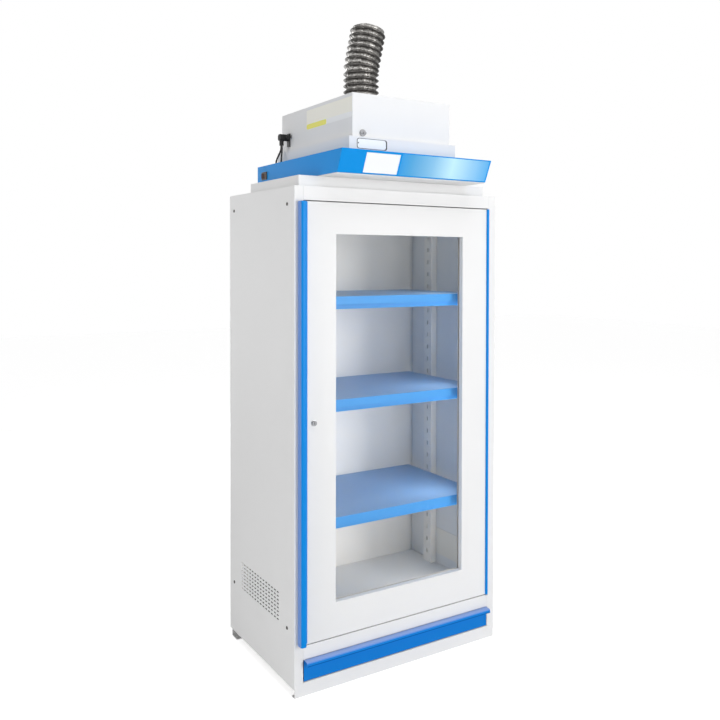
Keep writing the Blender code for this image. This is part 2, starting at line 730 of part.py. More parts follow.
def build_door():
    """A folded pan whose section runs all round the window, from the glazing seat to the rear fold."""
    wall = SHEET / 2
    pan_back = DOOR_THICKNESS - LINER - FIT
    window = ((-WINDOW_HALF, WINDOW_BOTTOM), (WINDOW_HALF, WINDOW_TOP))
    outer = ((-DOOR_HALF, DOOR_BOTTOM), (DOOR_HALF, DOOR_TOP))
    section = [(window, GLAZING_SEAT, WINDOW_REVEAL - wall), (window, wall, WINDOW_REVEAL - wall)]
    section += [(window, wall, wall), (outer, -wall, wall), (outer, -wall, pan_back - wall)]
    section += [(outer, -DOOR_FLANGE, pan_back - wall)]
    bm = bmesh.new()
    loops = []
    for (low, high), grow, deep in section:
        loops.append(frame_loop(bm, (low[0] - grow, low[1] - grow), (high[0] + grow, high[1] + grow), deep))
    for inner, outside in zip(loops, loops[1:]):
        for first in range(len(inner)):
            after = (first + 1) % len(inner)
            bm.faces.new((inner[first], inner[after], outside[after], outside[first]))
    frame = finish_mesh("door_frame", bm, WHITE, HINGE)
    thicken(frame, SHEET, 0)
    sleeve = LOCK_RADIUS + LOCK_PLAY + SHEET
    cut_hole(frame, (LOCK_X, back(-OVERRUN), LOCK_Z), (LOCK_X, back(SHEET + OVERRUN), LOCK_Z), sleeve + FIT)

    glass_front = WINDOW_REVEAL + FIT + BEAD + FIT
    glass_back = glass_front + GLASS
    ring("glazing_seal", RUBBER, window, GLASS_OVERLAP, GLASS_OVERLAP - BEAD_WIDTH,
         WINDOW_REVEAL + FIT, WINDOW_REVEAL + FIT + BEAD)
    (left, low), (right, high) = window
    glass_low = (left - GLASS_OVERLAP, back(glass_front), low - GLASS_OVERLAP)
    glass_high = (right + GLASS_OVERLAP, back(glass_back), high + GLASS_OVERLAP)
    boxes("door_glass", GLASS_LOOK, [(glass_low, glass_high)], HINGE)
    liner = ring("door_liner", WHITE, window, DOOR_HALF - WINDOW_HALF - LINER_MARGIN, 0,
                 DOOR_THICKNESS - LINER, DOOR_THICKNESS, outer, LINER_MARGIN)
    cut_hole(liner, (LOCK_X, back(pan_back), LOCK_Z), (LOCK_X, back(DOOR_THICKNESS + OVERRUN), LOCK_Z),
             LOCK_RADIUS + FIT)

    stop = ((-STOP_INNER - OVERRUN, FLOOR_TOP + FLOOR_LIP - GASKET_WIDTH - OVERRUN),
            (STOP_INNER + OVERRUN, DOOR_TOP - GASKET_WIDTH))
    ring("door_gasket", RUBBER, stop, GASKET_WIDTH, 0, DOOR_THICKNESS + DOOR_REAR_PLAY,
         DOOR_THICKNESS + DOOR_REAR_PLAY + GASKET, origin=(0, 0, 0))


def ring(name, look, hole, grow, inset, near, far, outer=None, margin=0, origin=None):
    """A flat rectangular ring around an opening, between two depths."""
    low, high = hole
    if outer is None:
        out_low = (low[0] - grow, low[1] - grow)
        out_high = (high[0] + grow, high[1] + grow)
    else:
        out_low = (outer[0][0] + margin, outer[0][1] + margin)
        out_high = (outer[1][0] - margin, outer[1][1] - margin)
    bm = bmesh.new()
    inner = frame_loop(bm, (low[0] - inset, low[1] - inset), (high[0] + inset, high[1] + inset), near)
    outside = frame_loop(bm, out_low, out_high, near)
    for first in range(len(inner)):
        after = (first + 1) % len(inner)
        bm.faces.new((inner[first], inner[after], outside[after], outside[first]))
    swept = bmesh.ops.extrude_face_region(bm, geom=bm.faces[:])["geom"]
    moved = [item for item in swept if isinstance(item, bmesh.types.BMVert)]
    bmesh.ops.translate(bm, verts=moved, vec=(0, far - near, 0))
    bmesh.ops.recalc_face_normals(bm, faces=bm.faces)
    return finish_mesh(name, bm, look, HINGE if origin is None else origin)


def build_door_fittings():
    """The full height grip, the hinge strip and its two pivots."""
    wall = GRIP_SHEET / 2
    face = back(-FIT - wall)
    nose = back(-GRIP_PROUD + wall)
    line = [(-STOP_INNER, face), (-GRIP_OUTER + wall, face), (-GRIP_OUTER + wall, nose)]
    line += [(-GRIP_INNER - wall, nose), (-GRIP_INNER - wall, nose + GRIP_LIP)]
    grip = folded("door_grip", BLUE, rounded(line[1:], GRIP_ROLL), "Z",
                  GRIP_BOTTOM, GRIP_TOP, GRIP_SHEET, HINGE)
    foot = boxes("door_grip_foot", None, [((-GRIP_OUTER + wall, face - wall, GRIP_BOTTOM),
                                           (-STOP_INNER, face + wall, GRIP_TOP))])
    combine(grip, foot, "UNION")

    radius = HINGE_STRIP_WIDTH / 2
    axis_y = back(HINGE_AXIS_Y)
    outline = [(HINGE_AXIS_X + radius, back(-FIT)), (HINGE_AXIS_X - radius, back(-FIT))]
    crown = HINGE_STRIP_PROUD + HINGE_AXIS_Y
    for step in range(FINE_SIDES // 2 + 1):
        angle = math.pi + math.pi * step / (FINE_SIDES // 2)
        outline.append((HINGE_AXIS_X + radius * math.cos(angle), axis_y + crown * math.sin(angle)))
    pin_hole = PIVOT_PIN_RADIUS + PIVOT_PLAY
    strip = prism("hinge_strip", BLUE, outline, "Z", DOOR_BOTTOM, DOOR_TOP, HINGE)
    depth = PIVOT_PIN_LENGTH + FIT
    cuts = ((DOOR_BOTTOM - OVERRUN, DOOR_BOTTOM + depth), (DOOR_TOP - depth, DOOR_TOP + OVERRUN))
    for start, end in cuts:
        cut_hole(strip, (HINGE_AXIS_X, axis_y, start), (HINGE_AXIS_X, axis_y, end), pin_hole, FINE_SIDES)
    smooth(strip)

    tongue = DOOR_GAP - FIT - FIT
    ends = (("pivot_bottom", DOOR_BOTTOM - FIT, DOOR_BOTTOM - DOOR_GAP + FIT, 1),
            ("pivot_top", DOOR_TOP + FIT, DOOR_TOP + DOOR_GAP - FIT, -1))
    for name, near, far, inward in ends:
        cap = prism(name, BLUE, outline, "Z", near, far)
        plate = [((HINGE_AXIS_X - radius + PIVOT_PLATE, back(-FIT - OVERRUN), min(near, far)),
                  (HINGE_AXIS_X + radius - PIVOT_PLATE, back(STILE_RETURN), max(near, far)))]
        join_boxes(cap, plate)
        join_cylinder(cap, (HINGE_AXIS_X, axis_y, (near + far) / 2),
                      (HINGE_AXIS_X, axis_y, near + PIVOT_PIN_LENGTH * inward),
                      PIVOT_PIN_RADIUS, FINE_SIDES)


def build_lock():
    """A quarter turn lock: the housing in the door and the core, whose cam reaches behind the stop."""
    sleeve = LOCK_RADIUS + LOCK_PLAY + SHEET
    bore = LOCK_RADIUS + LOCK_PLAY
    rear = DOOR_THICKNESS - LINER - FIT - FIT
    profile = [(bore, SHEET + FIT), (LOCK_COLLAR, SHEET + FIT), (LOCK_COLLAR, FIT), (sleeve, FIT)]
    profile += [(sleeve, -rear), (bore, -rear)]
    turned("lock_housing", STEEL, profile, (LOCK_X, FRONT, LOCK_Z), SIDES, "Y")
    cam_near = STOP_FACE + UPRIGHT_SHEET + FIT + FIT + FIT
    cam_far = cam_near + CAM_THICKNESS
    bm = bmesh.new()
    add_cylinder(bm, (LOCK_X, back(-LOCK_PROUD), LOCK_Z), (LOCK_X, back(cam_far - CAM_THICKNESS / 2), LOCK_Z),
                 LOCK_RADIUS)
    core = finish_mesh("lock_core", bm, DARK, (LOCK_X, FRONT, LOCK_Z))
    half = CAM_WIDTH / 2
    outline = [(LOCK_X - half, LOCK_Z - half), (LOCK_X + half, LOCK_Z - half)]
    outline += [(LOCK_X + half, LOCK_Z + CAM_LENGTH), (LOCK_X - half, LOCK_Z + CAM_LENGTH)]
    cam = prism("lock_core_cam", None, outline, "Y", back(cam_near), back(cam_far))
    combine(core, cam, "UNION")
    slot = SHEET
    cut_boxes(core, [((LOCK_X - slot / 2, back(-LOCK_PROUD - OVERRUN), LOCK_Z - LOCK_RADIUS / 2),
                      (LOCK_X + slot / 2, back(-LOCK_PROUD + SHEET), LOCK_Z + LOCK_RADIUS / 2))])
    smooth(core)


def build_drawer():
    """The drawer's front with its rolled grip, and its tray."""
    wall = DRAWER_SHEET / 2
    line = [(back(RAIL_DEPTH), DRAWER_BOTTOM + wall), (back(wall), DRAWER_BOTTOM + wall)]
    line += [(back(wall), DRAWER_TOP - wall), (back(-DRAWER_GRIP + wall), DRAWER_TOP - wall)]
    line += [(back(-DRAWER_GRIP + wall), DRAWER_LIP_BOTTOM)]
    roll = rounded(line[2:], DRAWER_ROLL, 4)
    folded("drawer_front", BLUE, line[:2] + roll, "X", -DOOR_HALF, DOOR_HALF, DRAWER_SHEET)

    low = DRAWER_BOTTOM + DRAWER_SHEET + FIT
    bm = bmesh.new()
    add_box(bm, (-TRAY_HALF, back(DRAWER_SHEET + FIT), low), (TRAY_HALF, back(TRAY_BACK), TRAY_TOP))
    above = [face for face in bm.faces if face.normal.z > 0]
    bmesh.ops.delete(bm, geom=above, context="FACES")
    tray = finish_mesh("drawer_box", bm, WHITE)
    thicken(tray, TRAY_SHEET, -1)


def build_runners():
    """Telescopic runners: three nested channels a side, the outer one bracketed to the side panel."""
    wall = RUNNER_SHEET / 2
    start = back(RUNNER_START)
    end = back(RUNNER_START + RUNNER_LENGTH)
    inner_web = TRAY_HALF + FIT + wall
    outer_web = OPEN_HALF - SHEET - SHEET - SHEET
    middle_web = outer_web - RUNNER_SHEET - RUNNER_CLEARANCE
    middle_height = RUNNER_OUTER_HEIGHT - 2 * (RUNNER_SHEET + RUNNER_CLEARANCE)
    inner_height = middle_height - 2 * (RUNNER_SHEET + RUNNER_CLEARANCE)
    members = (("runner_inner_left", inner_web, 1, inner_height),
               ("runner_middle_left", middle_web, -1, middle_height),
               ("runner_outer_left", outer_web, -1, RUNNER_OUTER_HEIGHT))
    for name, web, outward, height in members:
        tip = -(web + RUNNER_LIP * outward)
        half = height / 2 - wall
        line = [(tip, RUNNER_CENTRE - half), (-web, RUNNER_CENTRE - half)]
        line += [(-web, RUNNER_CENTRE + half), (tip, RUNNER_CENTRE + half)]
        piece = folded(name, STEEL, line, "Y", start, end, RUNNER_SHEET)
        if name == "runner_outer_left":
            low = RUNNER_CENTRE - RUNNER_SHEET
            brackets = [((-INNER_HALF, start, low), (-web, start + BRACKET_WIDTH, low + RUNNER_SHEET)),
                        ((-INNER_HALF, end - BRACKET_WIDTH, low), (-web, end, low + RUNNER_SHEET))]
            join_boxes(piece, brackets)
        mirrored(piece, name.replace("left", "right"))


# Heights of the roof unit

CONSOLE_FLOOR = BODY_HEIGHT + SPACER_HEIGHT
CONSOLE_TOP = CONSOLE_FLOOR + CONSOLE_HEIGHT
HOOD_BOTTOM = CONSOLE_TOP + BASE_HEIGHT
HOOD_TOP = HOOD_BOTTOM + HOOD_HEIGHT
DUCT_BEND_START = HOOD_TOP + DUCT_STRAIGHT
DUCT_TOP = DUCT_BEND_START + DUCT_BEND + DUCT_STRAIGHT
COLLAR_HOLE = COLLAR_RADIUS + FIT


def open_box(name, look, low, high, sheet, side):
    """A box of sheet with one side left open: -1 for the bottom, 1 for the top, 0 for none."""
    bm = bmesh.new()
    add_box(bm, low, high)
    if side:
        lids = [face for face in bm.faces if face.normal.z * side > 0]
        for lid in [face for face in lids if abs(face.normal.z) == max(abs(one.normal.z) for one in lids)]:
            bmesh.ops.delete(bm, geom=[lid], context="FACES")
    piece = finish_mesh(name, bm, look)
    thicken(piece, sheet, -1)
    return piece


def build_console():
    """The spacer, the air collar and the control housing with its slanted front."""
    axis = (0, back(FAN_CENTRE))
    spacer = open_box("roof_spacer", WHITE, (-SPACER_HALF, back(SPACER_FRONT), BODY_HEIGHT + FIT),
                      (SPACER_HALF, back(SPACER_FRONT + SPACER_DEPTH), CONSOLE_FLOOR - FIT), SHEET, -1)
    cut_hole(spacer, (*axis, CONSOLE_FLOOR - SHEET - OVERRUN),
             (*axis, CONSOLE_FLOOR + OVERRUN), COLLAR_HOLE)

    base = boxes("console_base", WHITE, [((-CONSOLE_HALF, back(-CONSOLE_FOOT_OVERHANG), CONSOLE_FLOOR),
                                          (CONSOLE_HALF, back(DEPTH), CONSOLE_FLOOR + CONSOLE_BASE))])
    cut_hole(base, (*axis, CONSOLE_FLOOR - OVERRUN),
             (*axis, CONSOLE_FLOOR + CONSOLE_BASE + OVERRUN), COLLAR_HOLE)

    foot = CONSOLE_FLOOR + CONSOLE_BASE + FIT
    lean = (CONSOLE_OVERHANG - CONSOLE_FOOT_OVERHANG) / CONSOLE_HEIGHT
    foot_front = -CONSOLE_FOOT_OVERHANG - lean * (foot - CONSOLE_FLOOR)
    outline = [(back(foot_front), foot), (back(DEPTH), foot), (back(DEPTH), CONSOLE_TOP)]
    outline += [(back(-CONSOLE_OVERHANG), CONSOLE_TOP)]
    bm = bmesh.new()
    add_prism(bm, outline, "X", -CONSOLE_HALF, CONSOLE_HALF)
    under = [face for face in bm.faces if face.normal.z < 0
             and abs(face.calc_center_median().z - foot) < TOUCH]
    bmesh.ops.delete(bm, geom=under, context="FACES")
    cover = finish_mesh("console_cover", bm, BLUE)
    thicken(cover, CONSOLE_WALL, -1)
    cut_hole(cover, (*axis, CONSOLE_TOP - CONSOLE_WALL - OVERRUN),
             (*axis, CONSOLE_TOP + OVERRUN), COLLAR_HOLE)

    inner = COLLAR_RADIUS - COLLAR_WALL
    low = BODY_HEIGHT + FIT
    high = CONSOLE_TOP + FIT + SHEET
    turned("air_collar", STEEL, [(inner, high), (COLLAR_RADIUS, high), (COLLAR_RADIUS, low), (inner, low)],
           (*axis, 0))
    build_display(cover)
    build_switch(cover)


def build_display(cover):
    """The touch display in the slanted front, and the board on pillars behind it."""
    slope = math.atan2(CONSOLE_OVERHANG - CONSOLE_FOOT_OVERHANG, CONSOLE_HEIGHT)
    middle = (CONSOLE_OVERHANG + CONSOLE_FOOT_OVERHANG) / 2
    spot = Matrix.Translation((DISPLAY_CENTRE, back(-middle), CONSOLE_FLOOR + CONSOLE_HEIGHT / 2))
    frame = spot @ Matrix.Rotation(math.pi / 2 + slope, 4, "X")
    half, tall = DISPLAY_HALF, DISPLAY_HALF_HEIGHT

    def slanted(name, look, pairs, pillars=()):
        bm = bmesh.new()
        for low, high in pairs:
            add_box(bm, low, high)
        for across, up in pillars:
            add_cylinder(bm, (across, up, -DISPLAY_THICKNESS - BOARD_STANDOFF - OVERRUN / 2),
                         (across, up, -DISPLAY_THICKNESS + SHEET / 2 - FIT), STANDOFF_RADIUS, FINE_SIDES)
        bmesh.ops.transform(bm, matrix=frame, verts=bm.verts)
        return finish_mesh(name, bm, look)

    proud = SHEET / 2
    slanted("touch_display", WHITE, [((-half, -tall, proud - DISPLAY_THICKNESS), (half, tall, proud))])
    room = (half + FIT, tall + FIT)
    cutter = slanted("console_cover_window", None, [((-room[0], -room[1], -DISPLAY_THICKNESS - OVERRUN),
                                                     (room[0], room[1], OVERRUN))])
    combine(cover, cutter, "DIFFERENCE")
    inset = BOARD_INSET
    deep = -DISPLAY_THICKNESS - BOARD_STANDOFF
    board = slanted("control_board", GREEN, [((-half + inset, -tall + inset, deep - BOARD_THICKNESS),
                                              (half - inset, tall - inset, deep))])
    corner = (half - inset - STANDOFF_RADIUS - OVERRUN, tall - inset - STANDOFF_RADIUS - OVERRUN)
    spots = [(corner[0] * side, corner[1] * end) for side in (-1, 1) for end in (-1, 1)]
    for number, pillar in enumerate(spots):
        added = slanted("control_board_pillar_" + str(number), None, [], [pillar])
        combine(board, added, "UNION")


def build_switch(cover):
    """The mains rocker and its bezel in the housing's left side."""
    height = CONSOLE_FLOOR + CONSOLE_HEIGHT / 2
    middle = back(SWITCH_CENTRE)
    face = -CONSOLE_HALF
    tilt = SWITCH_TILT / 2
    rise = ROCKER_HALF_LENGTH * math.tan(tilt)
    pivot = ROCKER_RISE
    reach = ROCKER_HALF_LENGTH * math.cos(tilt) + (pivot + rise) * math.sin(tilt) + ROCKER_PLAY
    tall = ROCKER_HALF_HEIGHT + ROCKER_PLAY
    wall = SHEET
    sleeve = (reach + wall, tall + wall)
    cut_boxes(cover, [((face - OVERRUN, middle - sleeve[0] - FIT, height - sleeve[1] - FIT),
                       (face + CONSOLE_WALL + OVERRUN, middle + sleeve[0] + FIT, height + sleeve[1] + FIT))])
    rim = face - FIT
    plate = ((rim - SWITCH_PROUD, middle - SWITCH_HALF_LENGTH, height - SWITCH_HALF_HEIGHT),
             (rim, middle + SWITCH_HALF_LENGTH, height + SWITCH_HALF_HEIGHT))
    bezel = boxes("switch_bezel", DARK, [plate])
    join_boxes(bezel, [((rim - SWITCH_PROUD / 2, middle - sleeve[0], height - sleeve[1]),
                        (face + SWITCH_DEPTH, middle + sleeve[0], height + sleeve[1]))])
    cut_boxes(bezel, [((rim - SWITCH_PROUD - OVERRUN, middle - reach, height - tall),
                       (face + SWITCH_DEPTH - wall, middle + reach, height + tall))])
    half = ROCKER_HALF_LENGTH
    root = half / 2
    outline = [(-pivot - rise, -half), (-pivot, 0), (-pivot - rise, half), (0, half)]
    outline += [(SWITCH_DEPTH / 3, root), (SWITCH_DEPTH / 3, -root), (0, -half)]
    bm = bmesh.new()
    add_prism(bm, outline, "Z", -ROCKER_HALF_HEIGHT, ROCKER_HALF_HEIGHT)
    bmesh.ops.transform(bm, matrix=Matrix.Rotation(tilt, 4, "Z"), verts=bm.verts)
    axis = (face - SWITCH_PROUD + pivot, middle, height)
    bmesh.ops.transform(bm, matrix=Matrix.Translation(axis), verts=bm.verts)
    rocker = finish_mesh("switch_rocker", bm, COPPER, axis)
    pin = MOTOR_SHAFT_RADIUS / 4
    join_cylinder(rocker, (axis[0], axis[1], height - tall + FIT), (axis[0], axis[1], height + tall - FIT),
                  pin, FINE_SIDES)


def build_filter():
    """The filter's base box, cassette and hood, and the lock that holds the hood."""
    axis = (0, back(FAN_CENTRE))
    low = CONSOLE_TOP + FIT
    base = open_box("filter_base", WHITE, (-BASE_HALF, back(BASE_FRONT), low),
                    (BASE_HALF, back(DEPTH), HOOD_BOTTOM - FIT), SHEET, 0)
    cut_hole(base, (*axis, low - OVERRUN), (*axis, low + SHEET + OVERRUN), COLLAR_HOLE)
    room = HOOD_HALF - FLANGE
    front, rear = HOOD_FRONT + FLANGE, HOOD_FRONT + HOOD_DEPTH - FLANGE
    cut_boxes(base, [((-room, back(front), HOOD_BOTTOM - SHEET - OVERRUN),
                      (room, back(rear), HOOD_BOTTOM + OVERRUN))])

    floor = low + SHEET + FIT
    top = floor + CASSETTE_HEIGHT
    cassette = boxes("filter_cassette", FILTER, [((-room + FIT, back(front + FIT), floor),
                                                  (room - FIT, back(rear - FIT), top))])
    rim = CASSETTE_MARGIN
    recess = CASSETTE_MARGIN / 2
    cut_boxes(cassette, [((-room + rim, back(front + rim), top - recess),
                          (room - rim, back(rear - rim), top + OVERRUN))])

    hood = open_box("filter_hood", WHITE, (-HOOD_HALF, back(HOOD_FRONT), HOOD_BOTTOM),
                    (HOOD_HALF, back(HOOD_FRONT + HOOD_DEPTH), HOOD_TOP), HOOD_WALL, -1)
    cut_hole(hood, (*axis, HOOD_TOP - HOOD_WALL - OVERRUN),
             (*axis, HOOD_TOP + OVERRUN), SPIGOT_RADIUS - SHEET)

    height = HOOD_BOTTOM + HOOD_LOCK_RISE
    play = LOCK_PLAY
    cut_hole(hood, (HOOD_LOCK_X, back(HOOD_FRONT - OVERRUN), height),
             (HOOD_LOCK_X, back(HOOD_FRONT + HOOD_WALL + OVERRUN), height), HOOD_LOCK_SHANK + play)
    inside = HOOD_FRONT + HOOD_WALL + FIT
    keeper = (inside, inside + SHEET)
    half = HOOD_LOCK_SHANK
    join_boxes(base, [((HOOD_LOCK_X - half, back(keeper[0]), HOOD_BOTTOM - SHEET),
                       (HOOD_LOCK_X + half, back(keeper[1]), height - HOOD_LOCK_SHANK - SHEET / 2))])
    bm = bmesh.new()
    add_cylinder(bm, (HOOD_LOCK_X, back(HOOD_FRONT - FIT - HOOD_LOCK_PROUD), height),
                 (HOOD_LOCK_X, back(HOOD_FRONT - FIT), height), HOOD_LOCK_RADIUS)
    lock = finish_mesh("hood_lock", bm, STEEL, (HOOD_LOCK_X, back(HOOD_FRONT), height))
    cam = (keeper[1] + FIT, keeper[1] + FIT + CAM_THICKNESS)
    join_cylinder(lock, (HOOD_LOCK_X, back(HOOD_FRONT - FIT - SHEET), height),
                  (HOOD_LOCK_X, back(cam[1] - CAM_THICKNESS / 2), height), HOOD_LOCK_SHANK)
    reach = HOOD_LOCK_RISE - SHEET
    wide = HOOD_LOCK_SHANK + SHEET
    join_boxes(lock, [((HOOD_LOCK_X - wide, back(cam[0]), height - reach),
                       (HOOD_LOCK_X + wide, back(cam[1]), height + wide))])
    grip = HOOD_LOCK_PROUD / 2
    left, right = HOOD_LOCK_X - HOOD_LOCK_RADIUS - OVERRUN, HOOD_LOCK_X + HOOD_LOCK_RADIUS + OVERRUN
    front, flat = back(HOOD_FRONT - HOOD_LOCK_PROUD - OVERRUN), back(HOOD_FRONT - grip)
    far = HOOD_LOCK_RADIUS + OVERRUN
    cut_boxes(lock, [((left, front, height + grip), (right, flat, height + far)),
                     ((left, front, height - far), (right, flat, height - grip))])
    smooth(lock)
    return hood


def build_fan():
    """The fan plate with its inlet nozzle, the backward curved impeller and the motor on its bridge."""
    centre = (0, back(FAN_CENTRE), 0)
    low = HOOD_BOTTOM + CASSETTE_HEIGHT - BASE_HEIGHT + FAN_PLATE_RISE
    top = low + FAN_PLATE_THICKNESS
    room = HOOD_HALF - HOOD_WALL - FIT
    near, far = HOOD_FRONT + HOOD_WALL + FIT, HOOD_FRONT + HOOD_DEPTH - HOOD_WALL - FIT
    plate = boxes("fan_plate", STEEL, [((-room, back(near), low), (room, back(far), top))])
    lip = top + NOZZLE_DEPTH
    join_cylinder(plate, (0, centre[1], low + FAN_PLATE_THICKNESS / 2), (0, centre[1], lip),
                  NOZZLE_RADIUS + SHEET)
    cut_hole(plate, (0, centre[1], low - OVERRUN), (0, centre[1], lip + OVERRUN), NOZZLE_RADIUS)

    foot = top + FAN_GAP
    head = foot + FAN_HEIGHT
    bore = MOTOR_SHAFT_RADIUS + SHAFT_PLAY
    hub = MOTOR_SHAFT_RADIUS + FAN_HUB_WALL
    half = FAN_DISC
    profile = [(bore, head), (FAN_RADIUS, head), (FAN_RADIUS, head - half), (hub, head - half)]
    profile += [(hub, head - FAN_HEIGHT / 2), (bore, head - FAN_HEIGHT / 2)]
    impeller = turned("impeller", STEEL, profile, centre)
    shroud = [(FAN_EYE_RADIUS, foot + FAN_DISC), (FAN_RADIUS, foot + FAN_DISC)]
    shroud += [(FAN_RADIUS, foot), (FAN_EYE_RADIUS, foot)]
    bm = bmesh.new()
    for number in range(BLADES):
        add_blade(bm, TAU * number / BLADES, foot + FAN_DISC / 2, head - FAN_DISC / 2, centre)
    blades = finish_mesh("impeller_blades", bm, None)
    ring_piece = turned("impeller_shroud", STEEL, shroud, centre)
    to_cutters(ring_piece)
    combine(impeller, blades, "UNION")
    combine(impeller, ring_piece, "UNION")

    floor = head + FIT + FIT
    ceiling = floor + MOTOR_HEIGHT
    shaft = head - FAN_HEIGHT / 2
    profile = [(0, ceiling), (MOTOR_RADIUS, ceiling), (MOTOR_RADIUS, floor)]
    profile += [(MOTOR_SHAFT_RADIUS, floor), (MOTOR_SHAFT_RADIUS, shaft), (0, shaft)]
    motor = turned("fan_motor", DARK, profile, centre)
    smooth(motor)
    wall = SHEET / 2
    roof = ceiling + FIT + wall
    foot, end = top + FIT + wall, BRIDGE_HALF + BRIDGE_FOOT
    line = [(-end, foot), (-BRIDGE_HALF, foot), (-BRIDGE_HALF, roof)]
    line += [(BRIDGE_HALF, roof), (BRIDGE_HALF, foot), (end, foot)]
    folded("motor_bridge", STEEL, line, "Y", centre[1] - BRIDGE_WIDTH / 2, centre[1] + BRIDGE_WIDTH / 2)


def add_blade(bm, start, low, high, centre):
    """One blade that sweeps backwards from the eye to the rim."""
    steps = 5
    inner, outer = [], []
    for step in range(steps + 1):
        share = step / steps
        radius = FAN_EYE_RADIUS + (FAN_RADIUS - FAN_EYE_RADIUS - BLADE_THICKNESS) * share
        angle = start - BLADE_SWEEP * share
        spot = Vector((math.cos(angle), math.sin(angle))) * radius
        inner.append(tuple(spot))
        edge = spot + Vector((-math.sin(angle), math.cos(angle))) * BLADE_THICKNESS
        outer.append(tuple(edge))
    outline = [(across, up + centre[1]) for across, up in inner + outer[::-1]]
    add_prism(bm, outline, "Z", low, high)


def to_cutters(piece):
    PARTS.objects.unlink(piece)
    CUTTERS.objects.link(piece)
    piece.hide_render = True
    piece.display_type = "WIRE"


def tube(name, look, points, radii, resolution):
    """A tube along a route, as a mesh with its caps welded on."""
    curve = bpy.data.curves.new(name, "CURVE")
    curve.dimensions = "3D"
    curve.bevel_depth = 1
    curve.bevel_resolution = resolution
    curve.use_fill_caps = True
    curve.twist_mode = "MINIMUM"
    spline = curve.splines.new("POLY")
    spline.points.add(len(points) - 1)
    for knot, point, radius in zip(spline.points, points, radii):
        knot.co = (*point, 1)
        knot.radius = radius
    guide = bpy.data.objects.new(name + "_route", curve)
    CUTTERS.objects.link(guide)
    bpy.context.view_layer.update()
    mesh = bpy.data.meshes.new_from_object(guide.evaluated_get(bpy.context.evaluated_depsgraph_get()))
    bm = bmesh.new()
    bm.from_mesh(mesh)
    bmesh.ops.transform(bm, matrix=guide.matrix_world, verts=bm.verts)
    bmesh.ops.remove_doubles(bm, verts=bm.verts, dist=TOUCH)
    bmesh.ops.recalc_face_normals(bm, faces=bm.faces)
    bpy.data.objects.remove(guide)
    bpy.data.curves.remove(curve)
    bpy.data.meshes.remove(mesh)
    piece = finish_mesh(name, bm, look)
    piece.data.shade_smooth()
    return piece


def hanging_route(start, end, steps):
    """A route that leaves and lands upright and swings over in between."""
    points = []
    for step in range(steps + 1):
        share = step / steps
        swing = share * share * (3 - 2 * share)
        point = start.lerp(end, swing)
        point.z = start.z + (end.z - start.z) * share
        points.append(point)
    return points


def build_duct():
    """The spigot on the hood, the ribbed duct pushed over it and the clamp that holds it."""
    centre = (0, back(FAN_CENTRE), 0)
    low = HOOD_TOP + FIT
    inner = SPIGOT_RADIUS - SHEET
    flange = SPIGOT_RADIUS + SPIGOT_FLANGE
    profile = [(inner, low + SPIGOT_HEIGHT), (SPIGOT_RADIUS, low + SPIGOT_HEIGHT)]
    profile += [(SPIGOT_RADIUS, low + SHEET), (flange, low + SHEET), (flange, low), (inner, low)]
    turned("exhaust_spigot", STEEL, profile, centre)

    start = low + SHEET + FIT
    cuff = low + SPIGOT_HEIGHT + SHEET
    cuff_radius = (SPIGOT_RADIUS + FIT + DUCT_WALL) / math.cos(math.pi / DUCT_SIDES)
    route = [duct_spot(start), duct_spot(cuff)]
    radii = [cuff_radius, cuff_radius]
    ribs = int((DUCT_TOP - cuff) / DUCT_PITCH)
    pitch = (DUCT_TOP - cuff) / ribs
    for rib in range(ribs):
        for share, radius in zip(SHARES_OF_PITCH, (DUCT_RADIUS - DUCT_RIB, DUCT_RADIUS)):
            route.append(duct_spot(cuff + pitch * (rib + share)))
            radii.append(radius)
    duct = tube("exhaust_duct", FOIL, route, radii, DUCT_SIDES // 2 - 2)
    bore = DUCT_RADIUS - DUCT_RIB - DUCT_WALL
    steps = [cuff - SHEET, *(cuff + (DUCT_TOP - cuff) * step / BORE_STEPS for step in range(1, BORE_STEPS))]
    steps.append(DUCT_TOP + OVERRUN)
    cutter = tube("exhaust_duct_bore", FOIL, [duct_spot(height) for height in steps], [bore] * len(steps),
                  DUCT_SIDES // 2 - 2)
    to_cutters(cutter)
    combine(duct, cutter, "DIFFERENCE")
    cut_hole(duct, (0, centre[1], start - OVERRUN), (0, centre[1], cuff), SPIGOT_RADIUS + FIT)

    middle = (start + cuff) / 2
    half = CLAMP_WIDTH / 2
    band = (cuff_radius + FIT) / math.cos(math.pi / SIDES)
    outer = band + CLAMP_THICKNESS
    profile = [(band, middle + half), (outer, middle + half), (outer, middle - half), (band, middle - half)]
    clamp = turned("hose_clamp", STEEL, profile, centre)
    run = CLAMP_SCREW_LENGTH / 2
    join_cylinder(clamp, (-run, centre[1] + outer + CLAMP_SCREW_RADIUS / 2, middle),
                  (run, centre[1] + outer + CLAMP_SCREW_RADIUS / 2, middle), CLAMP_SCREW_RADIUS, FINE_SIDES)


def duct_spot(height):
    """The duct's centre at a height: an upright foot, a bend, and an end that leans over steadily."""
    bend = min(max(0, height - DUCT_BEND_START), DUCT_BEND)
    above = max(0, height - DUCT_BEND_START - DUCT_BEND)
    lean = LEAN_SHARE * (bend * bend / DUCT_BEND / 2 + above)
    return (lean, back(FAN_CENTRE), height)


